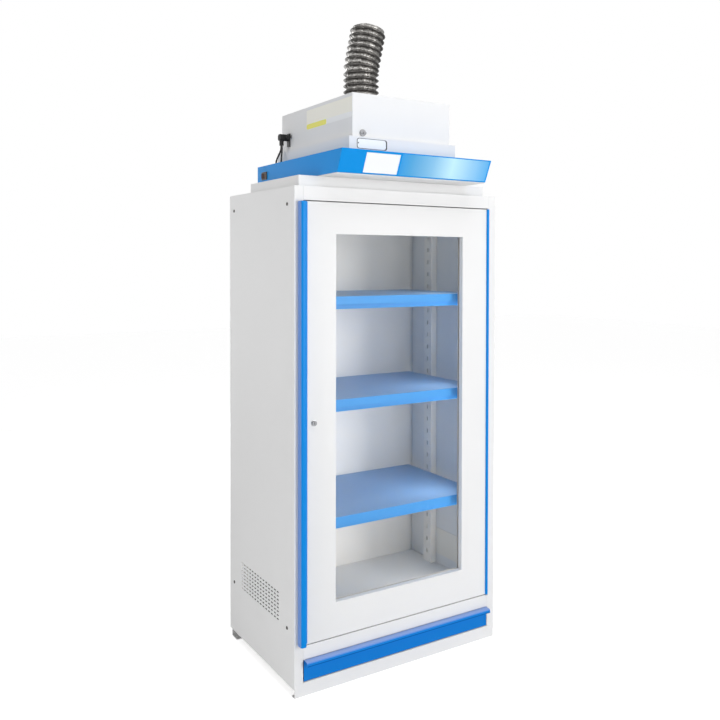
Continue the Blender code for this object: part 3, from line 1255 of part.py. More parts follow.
def build_power():
    """The inlet in the hood's left side, the angled plug in it, and its two short leads."""
    height = HOOD_BOTTOM + INLET_RISE
    socket = HOOD_BOTTOM + SOCKET_RISE
    middle = back(INLET_CENTRE)
    face = -HOOD_HALF
    neck = INLET_HALF_WIDTH - SHEET - SHEET
    cut_boxes(bpy.data.objects["filter_hood"],
              [((face - OVERRUN, middle - neck - FIT, socket - SOCKET_HALF - FIT),
                (face + HOOD_WALL + OVERRUN, middle + neck + FIT, socket + SOCKET_HALF + FIT))])
    rim = face - FIT
    flange = ((rim - INLET_PROUD, middle - INLET_HALF_WIDTH, height - INLET_HALF_HEIGHT),
              (rim, middle + INLET_HALF_WIDTH, height + INLET_HALF_HEIGHT))
    inlet = boxes("power_inlet", DARK, [flange])
    join_boxes(inlet, [((rim - INLET_PROUD / 2, middle - neck, socket - SOCKET_HALF),
                        (face + INLET_DEPTH, middle + neck, socket + SOCKET_HALF))])

    near = rim - INLET_PROUD - FIT
    far = near - PLUG_LENGTH
    front = middle - PLUG_HALF
    bottom = socket - PLUG_HALF
    bm = bmesh.new()
    made = add_box(bm, (far, front, bottom), (near, middle + PLUG_HALF, socket + PLUG_HALF))
    edges = {edge for corner in made for edge in corner.link_edges}
    lengthwise = [edge for edge in edges if abs(edge.verts[0].co.x - edge.verts[1].co.x) > TOUCH]
    bmesh.ops.bevel(bm, geom=lengthwise, offset=PLUG_HALF / 3, segments=2, affect="EDGES")
    plug = finish_mesh("power_plug", bm, RUBBER)
    stub = near - PLUG_STUB_RADIUS - SHEET
    join_cylinder(plug, (stub, front + OVERRUN, socket), (stub, front - PLUG_STUB, socket),
                  PLUG_STUB_RADIUS, FINE_SIDES)
    across = far + PLUG_ARM_RADIUS + SHEET
    arm = bottom - PLUG_ARM_LENGTH
    join_cylinder(plug, (across, middle, bottom + OVERRUN), (across, middle, arm),
                  PLUG_ARM_RADIUS, FINE_SIDES)
    smooth(plug)

    cover = bpy.data.objects["console_cover"]
    gland = CONSOLE_TOP + GROMMET_HEIGHT
    names = ("power_lead_front", "power_lead_rear")
    for name, side, inset, rear in zip(names, (-1, 1), LEAD_END_INSETS, LEAD_END_REARS):
        end_x = inset - CONSOLE_HALF
        end_y = back(DEPTH - rear)
        join_cylinder(cover, (end_x, end_y, CONSOLE_TOP - CONSOLE_WALL / 2), (end_x, end_y, gland),
                      GROMMET_RADIUS, FINE_SIDES)
        start = Vector((across, middle + (LEAD_RADIUS + FIT + FIT) * side, arm - FIT))
        end = Vector((end_x, end_y, gland + FIT))
        straight = Vector((0, 0, LEAD_RADIUS * 2))
        route = [start] + hanging_route(start - straight, end + straight, LEAD_STEPS) + [end]
        tube(name, RUBBER, route, [LEAD_RADIUS] * len(route), LEAD_RESOLUTION)


def main():
    global PARTS, CUTTERS
    for item in list(bpy.data.objects):
        bpy.data.objects.remove(item)
    PARTS = new_collection("ventilated_storage_cabinet", True)
    CUTTERS = new_collection("cutters", False)
    build_rails()
    build_side_panel()
    build_shell()
    build_uprights()
    build_shelves()
    build_door()
    build_door_fittings()
    build_lock()
    build_drawer()
    build_runners()
    build_console()
    build_filter()
    build_fan()
    build_duct()
    build_power()


main()
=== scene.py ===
# %% [markdown]
# A ventilated storage cabinet: a white sheet steel body with a glazed door, a blue drawer, and a
# filter unit with a foil duct on its roof. The construction is loaded as a fixed frame, and this
# lesson gives every surface its finish and adds the fine pieces. All lengths are in metres.

# %% Load the frame
import math

import bmesh
import bpy
from mathutils import Matrix, Vector, noise


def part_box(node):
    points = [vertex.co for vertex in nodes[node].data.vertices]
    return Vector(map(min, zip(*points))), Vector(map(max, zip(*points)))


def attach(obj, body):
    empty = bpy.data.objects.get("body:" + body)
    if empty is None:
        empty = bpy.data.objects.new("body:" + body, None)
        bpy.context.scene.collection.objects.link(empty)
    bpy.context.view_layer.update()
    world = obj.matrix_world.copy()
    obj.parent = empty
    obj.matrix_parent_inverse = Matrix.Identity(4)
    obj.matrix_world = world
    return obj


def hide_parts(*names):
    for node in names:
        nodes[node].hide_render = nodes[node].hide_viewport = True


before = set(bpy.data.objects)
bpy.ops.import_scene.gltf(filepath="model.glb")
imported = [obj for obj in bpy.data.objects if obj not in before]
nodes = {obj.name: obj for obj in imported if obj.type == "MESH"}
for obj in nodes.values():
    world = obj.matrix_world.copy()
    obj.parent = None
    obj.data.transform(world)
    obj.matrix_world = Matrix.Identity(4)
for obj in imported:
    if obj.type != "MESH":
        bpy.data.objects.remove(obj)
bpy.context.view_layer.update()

# %% [markdown]
# The camera comes first, because every later choice is judged through it. Its place was solved from
# the edges of the cabinet body: a tall lens standing left of the cabinet, 1.5 m above the floor.
# A matrix built from the viewing direction says this more plainly than three angles would.

# %% Camera
IMAGE = 720
FOCAL = 814.23
CENTRE_ACROSS, CENTRE_DOWN = 400.03, 276.29
YAW, PITCH, ROLL = (math.radians(angle) for angle in (33.1687, 1.0284, 0.1509))
CAMERA_AT = (-1.6896, -2.8064, 1.5356)

forward = Vector((math.sin(YAW) * math.cos(PITCH), math.cos(YAW) * math.cos(PITCH), -math.sin(PITCH)))
level = Vector((math.cos(YAW), -math.sin(YAW), 0))
upright = level.cross(forward)
right = level * math.cos(ROLL) + upright * math.sin(ROLL)
up = upright * math.cos(ROLL) - level * math.sin(ROLL)

lens = bpy.data.cameras.new("camera")
lens.sensor_width = 36
lens.lens = lens.sensor_width * FOCAL / IMAGE
lens.shift_x = (IMAGE / 2 - CENTRE_ACROSS) / IMAGE
lens.shift_y = (CENTRE_DOWN - IMAGE / 2) / IMAGE
camera = bpy.data.objects.new("camera", lens)
turn = Matrix((right, up, -forward)).transposed().to_4x4()
camera.matrix_world = Matrix.Translation(CAMERA_AT) @ turn
bpy.context.scene.collection.objects.link(camera)
bpy.context.scene.camera = camera
print("focal length", round(lens.lens, 2), "mm")

# %% [markdown]
# Two small helpers carry all the looks. Colours are written as they appear on a screen, while shaders
# want linear values, so one function turns them. The other adds a node with its settings and links in
# one line, which keeps a material as short to read as its description.

# %% Small helpers for looks


def colour(code):
    """A hex colour as the linear values that shaders expect."""
    parts = [int(code[place:place + 2], 16) / 255 for place in (1, 3, 5)]
    return [part / 12.92 if part < 0.04045 else ((part + 0.055) / 1.055) ** 2.4 for part in parts] + [1]


def add_node(tree, kind, links=(), settings=(), **values):
    """Add a node, set its properties and inputs, and feed its inputs from other nodes."""
    made = tree.nodes.new(kind)
    for name, value in dict(settings).items():
        setattr(made, name, value)
    for name, value in values.items():
        made.inputs[name.replace("_", " ")].default_value = value
    for name, source in dict(links).items():
        socket = source if isinstance(source, bpy.types.NodeSocket) else source.outputs[0]
        tree.links.new(socket, made.inputs[name])
    return made


print("a mid grey is", round(colour("#808080")[0], 3), "in linear light")

# %% [markdown]
# A studio for a pale object is mostly white surround. The world is full white where the camera or a
# reflection sees it, and weak as a light, so the background is clean while the object keeps its shade.

# %% Studio surround
SURROUND_LIGHT, SURROUND_SEEN = 0.30, 1.0
WHITE_LIGHT = (1, 1, 1, 1)
world = bpy.data.worlds.new("studio")
bpy.context.scene.world = world
world.use_nodes = True
tree = world.node_tree
tree.nodes.clear()
seen = add_node(tree, "ShaderNodeLightPath")
camera_ray, glossy_ray, glass_ray = (seen.outputs[f"Is {kind} Ray"]
                                     for kind in ("Camera", "Glossy", "Transmission"))
mirrored = add_node(tree, "ShaderNodeMath", {0: camera_ray, 1: glossy_ray}, {"operation": "MAXIMUM"})
through = add_node(tree, "ShaderNodeMath", {0: mirrored, 1: glass_ray}, {"operation": "MAXIMUM"})
strength = add_node(tree, "ShaderNodeMapRange", {"Value": through}, (),
                    To_Min=SURROUND_LIGHT, To_Max=SURROUND_SEEN)
glow = add_node(tree, "ShaderNodeBackground", {"Strength": strength}, (), Color=WHITE_LIGHT)
add_node(tree, "ShaderNodeOutputWorld", {"Surface": glow})
bpy.context.scene.view_settings.view_transform = "Standard"
print("the surround lights at", SURROUND_LIGHT, "and is seen at", SURROUND_SEEN)

# %% [markdown]
# One broad soft lamp stands in front for the door, a weaker one on the left for the side, one above for
# the roof, and one behind. Their power stays low enough that white enamel doesn't clip. Little of their
# light gets through the pane, so a thin tube stands behind the right stile in each compartment and
# shines on the back wall. The tubes are hidden from the camera and from reflections, and end well clear
# of the shelves, whose lips they would burn out.

# %% Lamps

def add_lamp(name, place, target, width, height, power):
    """A soft box at a place, facing a target."""
    lamp = bpy.data.lights.new(name, "AREA")
    lamp.shape = "RECTANGLE"
    lamp.size, lamp.size_y, lamp.energy = width, height, power
    stand = bpy.data.objects.new(name, lamp)
    stand.location = place
    stand.rotation_euler = (Vector(target) - Vector(place)).to_track_quat("-Z", "Y").to_euler()
    bpy.context.scene.collection.objects.link(stand)
    return stand


add_lamp("front_lamp", (1.3, -4.3, 1.5), (0, 0, 1.2), 1.2, 2.2, 99)
add_lamp("left_lamp", (-4.2, -0.8, 1.2), (0, 0.1, 1.0), 1.6, 2.4, 50)
add_lamp("top_lamp", (0, -1.6, 4.4), (0, -0.2, 1.2), 2.4, 1.4, 38)

TUBE_AT, TUBE_FACES = (0.37, -0.19), (-0.35, 0.33)
TUBE_WIDTH, TUBE_CLEAR, WATTS_PER_METRE = 0.04, 0.18, 4.4
TUBE_SPREAD = math.radians(140)
DECKS = ("chamber_floor", "shelf_lower", "shelf_middle", "shelf_upper")
LEVELS = [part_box(name)[1][2] for name in DECKS] + [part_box("top_panel")[0][2]]
for number, (foot, head) in enumerate(zip(LEVELS, LEVELS[1:]), 1):
    level, length = (foot + head) / 2, head - foot - TUBE_CLEAR
    tube = add_lamp(f"chamber_tube_{number}", (*TUBE_AT, level), (*TUBE_FACES, level),
                    TUBE_WIDTH, length, WATTS_PER_METRE * length)
    tube.data.spread = TUBE_SPREAD
    tube.visible_camera = tube.visible_glossy = False
add_lamp("back_lamp", (-0.4, 5.2, 1.2), (0, 0.2, 1.1), 2.4, 2.6, 62)
print("lamps:", ", ".join(lamp.name for lamp in bpy.data.lights))

# %% [markdown]
# The floor is seamless paper, nearly white. The camera sees it glow a little, which takes the grey out
# of it without more light on the object, and it still takes the object's shadow.

# %% Floor
FLOOR_SIZE, FLOOR_GLOW = 30, 0.66
bpy.ops.mesh.primitive_plane_add(size=FLOOR_SIZE)
floor = bpy.context.object
floor.name = "studio_floor"
paper = bpy.data.materials.new("seamless_paper")
paper.use_nodes = True
tree = paper.node_tree
shader = tree.nodes["Principled BSDF"]
shader.inputs["Base Color"].default_value = colour("#f6f6f6")
shader.inputs["Roughness"].default_value = 0.9
seen = add_node(tree, "ShaderNodeLightPath")
lift = add_node(tree, "ShaderNodeMath", {0: seen.outputs["Is Camera Ray"]}, {"operation": "MULTIPLY"})
lift.inputs[1].default_value = FLOOR_GLOW
backlight = add_node(tree, "ShaderNodeEmission", {"Strength": lift}, (), Color=WHITE_LIGHT)
both = add_node(tree, "ShaderNodeAddShader", {0: shader, 1: backlight})
tree.links.new(both.outputs[0], tree.nodes["Material Output"].inputs["Surface"])
floor.data.materials.append(paper)
print("the floor is", FLOOR_SIZE, "m wide")

# %% [markdown]
# Powder coat is what covers almost every sheet here: a polyester skin baked on steel. It gives the eye
# a calm satin colour with a faint orange peel. A noise of about 1.2 mm, used only as a very low bump,
# does this, where a painted image would blur close up. The real peel is finer than the picture can
# show, so it is drawn about twice as coarse. Housing, drawer and grips have blues a few steps apart,
# each matched to how that piece looks on the real cabinet.

# %% Powder coat
MM = 0.001
WHITE, BLUE = "#eaeaea", "#0087dc"
CLOUD = 240 * MM
GLOSS_DRIFT = 0.05


def new_finish(name):
    """A named material with its node tree and its shader."""
    finish = bpy.data.materials.new(name)
    finish.use_nodes = True
    return finish, finish.node_tree, finish.node_tree.nodes["Principled BSDF"]


def powder_coat(name, code, roughness, shine=0.5, peel=1.2 * MM, depth=0.03):
    """Polyester powder on steel: one colour, satin, with orange peel and a little uneven gloss."""
    finish, tree, shader = new_finish(name)
    shader.inputs["Specular IOR Level"].default_value = shine
    spot = add_node(tree, "ShaderNodeTexCoord").outputs["Object"]
    grain = add_node(tree, "ShaderNodeTexNoise", {"Vector": spot}, Scale=1 / peel, Detail=2.0)
    cloud = add_node(tree, "ShaderNodeTexNoise", {"Vector": spot}, Scale=1 / CLOUD, Detail=3.0)
    gloss = add_node(tree, "ShaderNodeMapRange", {"Value": cloud}, (), To_Min=roughness - GLOSS_DRIFT,
                     To_Max=roughness + GLOSS_DRIFT)
    tint = add_node(tree, "ShaderNodeValToRGB", {"Fac": cloud})
    base = colour(code)
    tint.color_ramp.elements[0].color = [part * 0.97 for part in base[:3]] + [1]
    tint.color_ramp.elements[1].color = base
    peel_bump = add_node(tree, "ShaderNodeBump", {"Height": grain}, (), Strength=depth, Distance=0.2 * MM)
    tree.links.new(tint.outputs[0], shader.inputs["Base Color"])
    tree.links.new(gloss.outputs[0], shader.inputs["Roughness"])
    tree.links.new(peel_bump.outputs[0], shader.inputs["Normal"])
    return finish


white_coat = powder_coat("white_powder_coat", WHITE, 0.42, 0.3)
inner_coat = powder_coat("inner_white_powder_coat", "#f4f0ea", 0.50, 0.3)
blue_coat = powder_coat("blue_powder_coat", BLUE, 0.36, 0.12)
housing_coat = powder_coat("housing_blue_powder_coat", "#0092e4", 0.34, 0.12)
# The drawer's and the grip's coats also carry a painted highlight on their rolls, added below.
drawer_highlight_coat = powder_coat("drawer_blue_coat_painted_highlight", "#007cd4", 0.36, 0.15)
grip_highlight_coat = powder_coat("grip_blue_coat_painted_highlight", BLUE, 0.36, 0.12)
print("coats:", ", ".join(coat.name for coat in (white_coat, inner_coat, blue_coat, housing_coat)))

# %% [markdown]
# The drawer's lip and the door's grip get a painted highlight on their rolled edges: the coat is drawn
# paler where a face turns towards the light. On the grips this draws a pale line along the roll, on top of
# the drawer's and on the left of the door's. The direction that a face turns to, in its own piece's axes,
# tells where the roll is.

# %% Painted highlight on the rolls


def paint_roll_highlight(finish, axis, start, end, code):
    """Paint a highlight: let a coat go paler between two values of one component of the surface's own normal.
    """
    tree = finish.node_tree
    shader = tree.nodes["Principled BSDF"]
    painted = shader.inputs["Base Color"].links[0].from_socket
    facing = add_node(tree, "ShaderNodeTexCoord").outputs["Normal"]
    turned = add_node(tree, "ShaderNodeSeparateXYZ", {0: facing}).outputs[axis]
    share = add_node(tree, "ShaderNodeMapRange", {"Value": turned}, (), From_Min=start, From_Max=end)
    mix = add_node(tree, "ShaderNodeMixRGB", {"Fac": share, "Color1": painted}, Color2=colour(code))
    tree.links.new(mix.outputs[0], shader.inputs["Base Color"])


# Painted highlight: paler on the drawer lip's upward faces and on the door grip's left faces.
paint_roll_highlight(drawer_highlight_coat, "Z", 0.35, 0.9, "#8aa6de")
paint_roll_highlight(grip_highlight_coat, "X", -0.72, -0.98, "#7398da")
print("thin on the rolls of", drawer_highlight_coat.name, "and", grip_highlight_coat.name)

# %% [markdown]
# The shelves are blue sheet with rows of round holes, nearly 8 mm wide every 10 mm, so that air can fall
# through them. Cut as geometry they would need thousands of edges, so a pattern draws them: it repeats
# the deck every 10 mm and asks how far each point is from the middle of its square. The holes take the
# pale grey of the lit space below, and only faces that look up or down have them.

# %% Perforated sheet
HOLE_PITCH = 10 * MM
HOLE_RADIUS = 3.9 * MM
LEVEL_FACE = 0.9


def perforated_coat(name, code, through):
    """Powder coat with a square grid of round holes on its level faces."""
    finish = powder_coat(name, code, 0.40, 0.3)
    tree = finish.node_tree
    shader = tree.nodes["Principled BSDF"]
    painted = shader.inputs["Base Color"].links[0].from_socket
    spot = add_node(tree, "ShaderNodeTexCoord").outputs["Object"]
    square = add_node(tree, "ShaderNodeVectorMath", {0: spot}, {"operation": "SCALE"}, Scale=1 / HOLE_PITCH)
    inside = add_node(tree, "ShaderNodeVectorMath", {0: square}, {"operation": "FRACTION"})
    offset = add_node(tree, "ShaderNodeVectorMath", {0: inside}, {"operation": "SUBTRACT"})
    offset.inputs[1].default_value = (0.5, 0.5, 0)
    level = add_node(tree, "ShaderNodeVectorMath", {0: offset}, {"operation": "MULTIPLY"})
    level.inputs[1].default_value = (1, 1, 0)
    reach = add_node(tree, "ShaderNodeVectorMath", {0: level}, {"operation": "LENGTH"}).outputs["Value"]
    hole = add_node(tree, "ShaderNodeMath", {0: reach}, {"operation": "LESS_THAN"})
    hole.inputs[1].default_value = HOLE_RADIUS / HOLE_PITCH
    facing = add_node(tree, "ShaderNodeNewGeometry").outputs["True Normal"]
    upward = add_node(tree, "ShaderNodeSeparateXYZ", {0: facing}).outputs["Z"]
    flat = add_node(tree, "ShaderNodeMath", {0: upward}, {"operation": "ABSOLUTE"})
    deck = add_node(tree, "ShaderNodeMath", {0: flat}, {"operation": "GREATER_THAN"})
    deck.inputs[1].default_value = LEVEL_FACE
    mask = add_node(tree, "ShaderNodeMath", {0: hole, 1: deck}, {"operation": "MULTIPLY"})
    mix = add_node(tree, "ShaderNodeMixRGB", {"Fac": mask, "Color1": painted}, Color2=colour(through))
    tree.links.new(mix.outputs[0], shader.inputs["Base Color"])
    return finish


shelf_coat = perforated_coat("perforated_blue_sheet", "#45a4f0", "#a4a8ab")
print("holes:", round(2 * HOLE_RADIUS / MM, 1), "mm wide every", round(HOLE_PITCH / MM), "mm")

# %% [markdown]
# The bare metals. Runners and brackets are rolled steel with zinc plating, a cool grey with faint marks
# along the sheet. The lock's housing and the hose clamp are brushed stainless steel, brighter and
# tighter in their gloss. The lock cores are nickel plated die castings, dull and dark, and the screws
# are blackened. A metal keeps its default index of refraction, and its colour is its reflection.
# Brushing is a noise stretched along one direction, 0.4 mm across the strokes, which is as fine as the
# picture can show.

# %% Bare metal
SCREW_STEEL = "#4a4643"
MARK_DRIFT = 0.08


def bare_metal(name, code, roughness, stretch=(1, 1, 1), stroke=0.4 * MM, depth=0.05):
    """Plated, brushed or rolled metal with fine marks along its working direction."""
    finish, tree, shader = new_finish(name)
    spot = add_node(tree, "ShaderNodeTexCoord").outputs["Object"]
    drawn = add_node(tree, "ShaderNodeVectorMath", {0: spot}, {"operation": "MULTIPLY"})
    drawn.inputs[1].default_value = stretch
    marks = add_node(tree, "ShaderNodeTexNoise", {"Vector": drawn}, Scale=1 / stroke, Detail=2.0)
    gloss = add_node(tree, "ShaderNodeMapRange", {"Value": marks}, (), To_Min=roughness - MARK_DRIFT,
                     To_Max=roughness + MARK_DRIFT)
    ridges = add_node(tree, "ShaderNodeBump", {"Height": marks}, (), Strength=depth, Distance=0.1 * MM)
    shader.inputs["Base Color"].default_value = colour(code)
    shader.inputs["Metallic"].default_value = 1.0
    tree.links.new(gloss.outputs[0], shader.inputs["Roughness"])
    tree.links.new(ridges.outputs[0], shader.inputs["Normal"])
    return finish


zinc_plate = bare_metal("zinc_plated_steel", "#b9bcc0", 0.38, (1, 0.05, 1))
satin_steel = bare_metal("satin_stainless_steel", "#c3c4c6", 0.30, (1, 1, 0.1))
dull_nickel = bare_metal("nickel_plated_die_casting", "#858688", 0.52)
dark_screw_steel = bare_metal("blackened_screw_steel", SCREW_STEEL, 0.45)
print("metals:", zinc_plate.name, satin_steel.name, dull_nickel.name, dark_screw_steel.name)

# %% [markdown]
# The foil of the duct is thin aluminium, crumpled as the ribs were pressed. Its colour is a painted
# reflection of the ribs, bright in the valleys and dark on the crests, so it follows how deep in a
# valley a point lies, which the duct's mesh will carry. Creases of about 11 mm make that edge jagged.

# %% Crumpled foil
CREASE, DENT, DENT_DEPTH = 11 * MM, 14 * MM, 2.5 * MM
duct_foil, tree, shader = new_finish("crumpled_aluminium_foil")
spot = add_node(tree, "ShaderNodeTexCoord").outputs["Object"]
crease = add_node(tree, "ShaderNodeTexNoise", {"Vector": spot}, Scale=1 / CREASE, Detail=2.0)
fold = add_node(tree, "ShaderNodeTexVoronoi", {"Vector": spot}, Scale=1 / DENT)
valley = add_node(tree, "ShaderNodeAttribute", (), {"attribute_name": "valley"}).outputs["Fac"]
wander = add_node(tree, "ShaderNodeMath", {0: crease, 2: valley}, {"operation": "MULTIPLY_ADD"})
wander.inputs[1].default_value = 0.75
shade = add_node(tree, "ShaderNodeValToRGB", {"Fac": wander})
# Painted reflection: the crests are dark and the valleys bright.
PAINTED_FOIL_REFLECTION = [(0.86, "#5c5a58"), (0.99, "#b0aeab")]
for element, (place, code) in zip(shade.color_ramp.elements, PAINTED_FOIL_REFLECTION):
    element.position, element.color = place, colour(code)
dents = add_node(tree, "ShaderNodeBump", {"Height": fold}, (), Strength=0.7, Distance=DENT_DEPTH)
shader.inputs["Metallic"].default_value = 1.0
shader.inputs["Roughness"].default_value = 0.36
tree.links.new(shade.outputs[0], shader.inputs["Base Color"])
tree.links.new(dents.outputs[0], shader.inputs["Normal"])
print("foil with creases of", round(CREASE / MM), "mm")

# %% [markdown]
# Each side panel is held by four blackened screws, and their low button heads belong to the panel's own
# solid. They are all that stands out of its face, so the finish is chosen by how far out a point lies:
# beyond the face it is steel, and on it powder coat.

# %% Side panels with their screw heads
HEAD_HEIGHT, CLEARANCE = 1.8 * MM, 0.1 * MM
SIDE_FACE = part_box("side_panel_right")[1][0] - HEAD_HEIGHT
side_coat = powder_coat("white_powder_coat_with_screws", WHITE, 0.42, 0.3)
tree = side_coat.node_tree
shader = tree.nodes["Principled BSDF"]
painted = shader.inputs["Base Color"].links[0].from_socket
spot = add_node(tree, "ShaderNodeTexCoord").outputs["Object"]
across = add_node(tree, "ShaderNodeSeparateXYZ", {0: spot}).outputs["X"]
outward = add_node(tree, "ShaderNodeMath", {0: across}, {"operation": "ABSOLUTE"})
head = add_node(tree, "ShaderNodeMath", {0: outward}, {"operation": "GREATER_THAN"})
head.inputs[1].default_value = SIDE_FACE + CLEARANCE
mix = add_node(tree, "ShaderNodeMixRGB", {"Fac": head, "Color1": painted}, Color2=colour(SCREW_STEEL))
tree.links.new(mix.outputs[0], shader.inputs["Base Color"])
tree.links.new(head.outputs[0], shader.inputs["Metallic"])
print("the side panels' faces lie", round(SIDE_FACE / MM, 1), "mm from the middle")

# %% [markdown]
# Plastics and rubbers take their surface from the mould. ABS has a fine spark-eroded grain of about
# 0.5 mm, which spreads reflections into a soft sheen. The switch's rocker is smooth amber polycarbonate,
# nearly black while it is off. Rubber has the same grain with less gloss. One helper draws the grain as
# small pits and lets the gloss drift slowly, as handling does.

# %% Plastic and rubber
HANDLING, WEAR_DRIFT = 40 * MM, 0.04


def moulded(name, code, roughness, grain=0.5 * MM, depth=0.06):
    """Injection moulded plastic or rubber with the grain of its mould."""
    finish, tree, shader = new_finish(name)
    spot = add_node(tree, "ShaderNodeTexCoord").outputs["Object"]
    pits = add_node(tree, "ShaderNodeTexVoronoi", {"Vector": spot}, Scale=1 / grain)
    texture = add_node(tree, "ShaderNodeBump", {"Height": pits}, (), Strength=depth, Distance=0.1 * MM)
    cloud = add_node(tree, "ShaderNodeTexNoise", {"Vector": spot}, Scale=1 / HANDLING)
    gloss = add_node(tree, "ShaderNodeMapRange", {"Value": cloud}, (), To_Min=roughness - WEAR_DRIFT,
                     To_Max=roughness + WEAR_DRIFT)
    shader.inputs["Base Color"].default_value = colour(code)
    tree.links.new(gloss.outputs[0], shader.inputs["Roughness"])
    tree.links.new(texture.outputs[0], shader.inputs["Normal"])
    return finish


black_abs = moulded("black_moulded_abs", "#1b1b1d", 0.42)
amber_rocker = moulded("amber_moulded_polycarbonate", "#3c2217", 0.45, 2 * MM, 0.01)
black_rubber = moulded("black_rubber", "#1a1a1a", 0.65)
seal_rubber = moulded("seal_rubber", "#3a3c3e", 0.70)
pale_rubber = moulded("pale_gasket_rubber", "#9b9ea0", 0.70)
print("grained:", black_abs.name, amber_rocker.name, black_rubber.name, seal_rubber.name, pale_rubber.name)

# %% [markdown]
# The films and plates are thin polyester, rolled smooth and printed in plain colours, so they get the
# same helper with hardly any grain and more gloss. The touch panel's face is the smoothest surface here
# after the pane. Inside the housings sit the green solder mask of the control board, which pools a
# little over its tracks, and the filter's felt, whose fibres make it matt and coarse.

# %% Films, board and filter
white_screen = moulded("white_touch_panel", "#f4f6f7", 0.16, 3 * MM, 0.0)
blank_plate = moulded("white_polyester_plate", "#f3f4f4", 0.30, 2 * MM, 0.01)
plate_edge = moulded("black_printed_edge", "#1e1f22", 0.40, 2 * MM, 0.0)
cream_film = moulded("cream_polyester_film", "#f7f5ea", 0.34, 2 * MM, 0.01)
yellow_film = moulded("yellow_polyester_film", "#f2ec66", 0.34, 2 * MM, 0.01)
board_mask = moulded("green_solder_mask", "#1f5a36", 0.35, 1 * MM, 0.05)
carbon_felt = moulded("filter_felt", "#a9a294", 0.90, 1.5 * MM, 0.6)
print("smooth:", white_screen.name, blank_plate.name, cream_film.name, yellow_film.name)

# %% [markdown]
# The pane is clear float glass, which shows mainly as reflections over what lies behind, so it is a thin
# see-through skin with the index of glass: a traced solid pane would keep the lamps out of the cabinet.
# Wiping leaves broad patches that are a little less smooth.

# %% Float glass
WIPED, PANE_SHOWS = 180 * MM, 0.035
clear_glass, tree, shader = new_finish("clear_float_glass")
spot = add_node(tree, "ShaderNodeTexCoord").outputs["Object"]
smudge = add_node(tree, "ShaderNodeTexNoise", {"Vector": spot}, Scale=1 / WIPED, Detail=4.0)
gloss = add_node(tree, "ShaderNodeMapRange", {"Value": smudge}, (), To_Min=0.02, To_Max=0.06)
tree.links.new(gloss.outputs[0], shader.inputs["Roughness"])
shader.inputs["Base Color"].default_value = colour("#a4acac")
shader.inputs["Alpha"].default_value = PANE_SHOWS
shader.inputs["IOR"].default_value = 1.5
print("the pane covers", PANE_SHOWS, "of what lies behind it")

# %% [markdown]
# The construction has its finishes assigned piece by piece. A folded sheet never has a knife edge, so
# the split corners of the imported meshes are welded and every edge gets a small rounding, which is
# what catches the light on the real cabinet. Both are modifiers: the meshes themselves stay as they are.

# %% Weld and round the edges
SHEET_EDGE, WELD_REACH = 0.4 * MM, 0.01 * MM
FOLD_ANGLE = math.radians(40)


def dress(name, finish, edge=SHEET_EDGE):
    """Give a node of the frame its finish and softly broken edges."""
    part = nodes[name]
    part.data.materials.clear()
    part.data.materials.append(finish)
    weld = part.modifiers.new("weld_corners", "WELD")
    weld.merge_threshold = WELD_REACH
    if edge:
        soften = part.modifiers.new("broken_edges", "BEVEL")
        soften.width = edge
        soften.segments = 2
        soften.limit_method = "ANGLE"
        soften.angle_limit = FOLD_ANGLE
        soften.harden_normals = False
    return part


print("edges sharper than", round(math.degrees(FOLD_ANGLE)), "degrees are rounded")

# %% [markdown]
# One table then says which pieces each finish covers. The pane keeps its sharp edges, which its frame
# hides.

# %% Dress the frame
FINISHES = {
    side_coat: ["side_panel_left", "side_panel_right"],
    white_coat: ["top_panel", "door_frame", "roof_spacer", "console_base", "filter_base", "filter_hood",
                 "base_rail_front", "base_rail_rear", "middle_rail"],
    inner_coat: ["back_panel", "bottom_panel", "chamber_floor", "door_liner", "upright_front_left",
                 "upright_front_right", "upright_rear_left", "upright_rear_right", "drawer_box"],
    shelf_coat: ["shelf_lower", "shelf_middle", "shelf_upper"],
    blue_coat: ["hinge_strip"],
    grip_highlight_coat: ["door_grip"],
    drawer_highlight_coat: ["drawer_front"],
    housing_coat: ["console_cover"],
    zinc_plate: ["runner_outer_left", "runner_outer_right", "runner_inner_left", "runner_inner_right",
                 "runner_middle_left", "runner_middle_right", "pivot_top", "pivot_bottom",
                 "fan_plate", "motor_bridge", "exhaust_spigot", "air_collar"],
    satin_steel: ["lock_housing", "hose_clamp"],
    dull_nickel: ["lock_core", "hood_lock"],
    black_abs: ["switch_bezel", "fan_motor", "impeller", "power_inlet"],
    black_rubber: ["power_plug"],
    seal_rubber: ["glazing_seal"],
    pale_rubber: ["door_gasket"],
    amber_rocker: ["switch_rocker"],
    white_screen: ["touch_display"],
    board_mask: ["control_board"],
    carbon_felt: ["filter_cassette"],
    clear_glass: ["door_glass"],
}
for finish, names in FINISHES.items():
    for name in names:
        dress(name, finish, 0 if finish is clear_glass else SHEET_EDGE)
print("dressed", sum(len(names) for names in FINISHES.values()), "nodes")

# %% [markdown]
# The exhaust duct is aluminium foil over a spring wire: pointed ribs 24 mm apart, each one dented a
# little by hand. Its body is a stack of rings round the duct's own centre line, which stands upright,
# bends, and leans over. The rings swell and shrink for the ribs, and noise pushes their points about.

# %% The duct's centre line
duct_low, duct_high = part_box("exhaust_duct")
spigot_low, spigot_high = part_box("exhaust_spigot")
DUCT_FOOT, DUCT_TOP = duct_low[2], duct_high[2] - 0.1 * MM
DUCT_AXIS_Y = (spigot_low[1] + spigot_high[1]) / 2
STRAIGHT, BEND, LEAN = 147 * MM, 42 * MM, 0.21
BEND_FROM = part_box("filter_hood")[1][2] + STRAIGHT
DUCT_END = BEND_FROM + BEND + STRAIGHT


def duct_frame(height):
    """The duct's centre at a height, and how far it leans there."""
    bend = min(max(0, height - BEND_FROM), BEND)
    above = max(0, height - BEND_FROM - BEND)
    shift = LEAN * (bend * bend / BEND / 2 + above)
    return Vector((shift, DUCT_AXIS_Y, height)), LEAN * bend / BEND


print("the duct leans", round(duct_frame(DUCT_END)[0].x / MM), "mm over by its end")

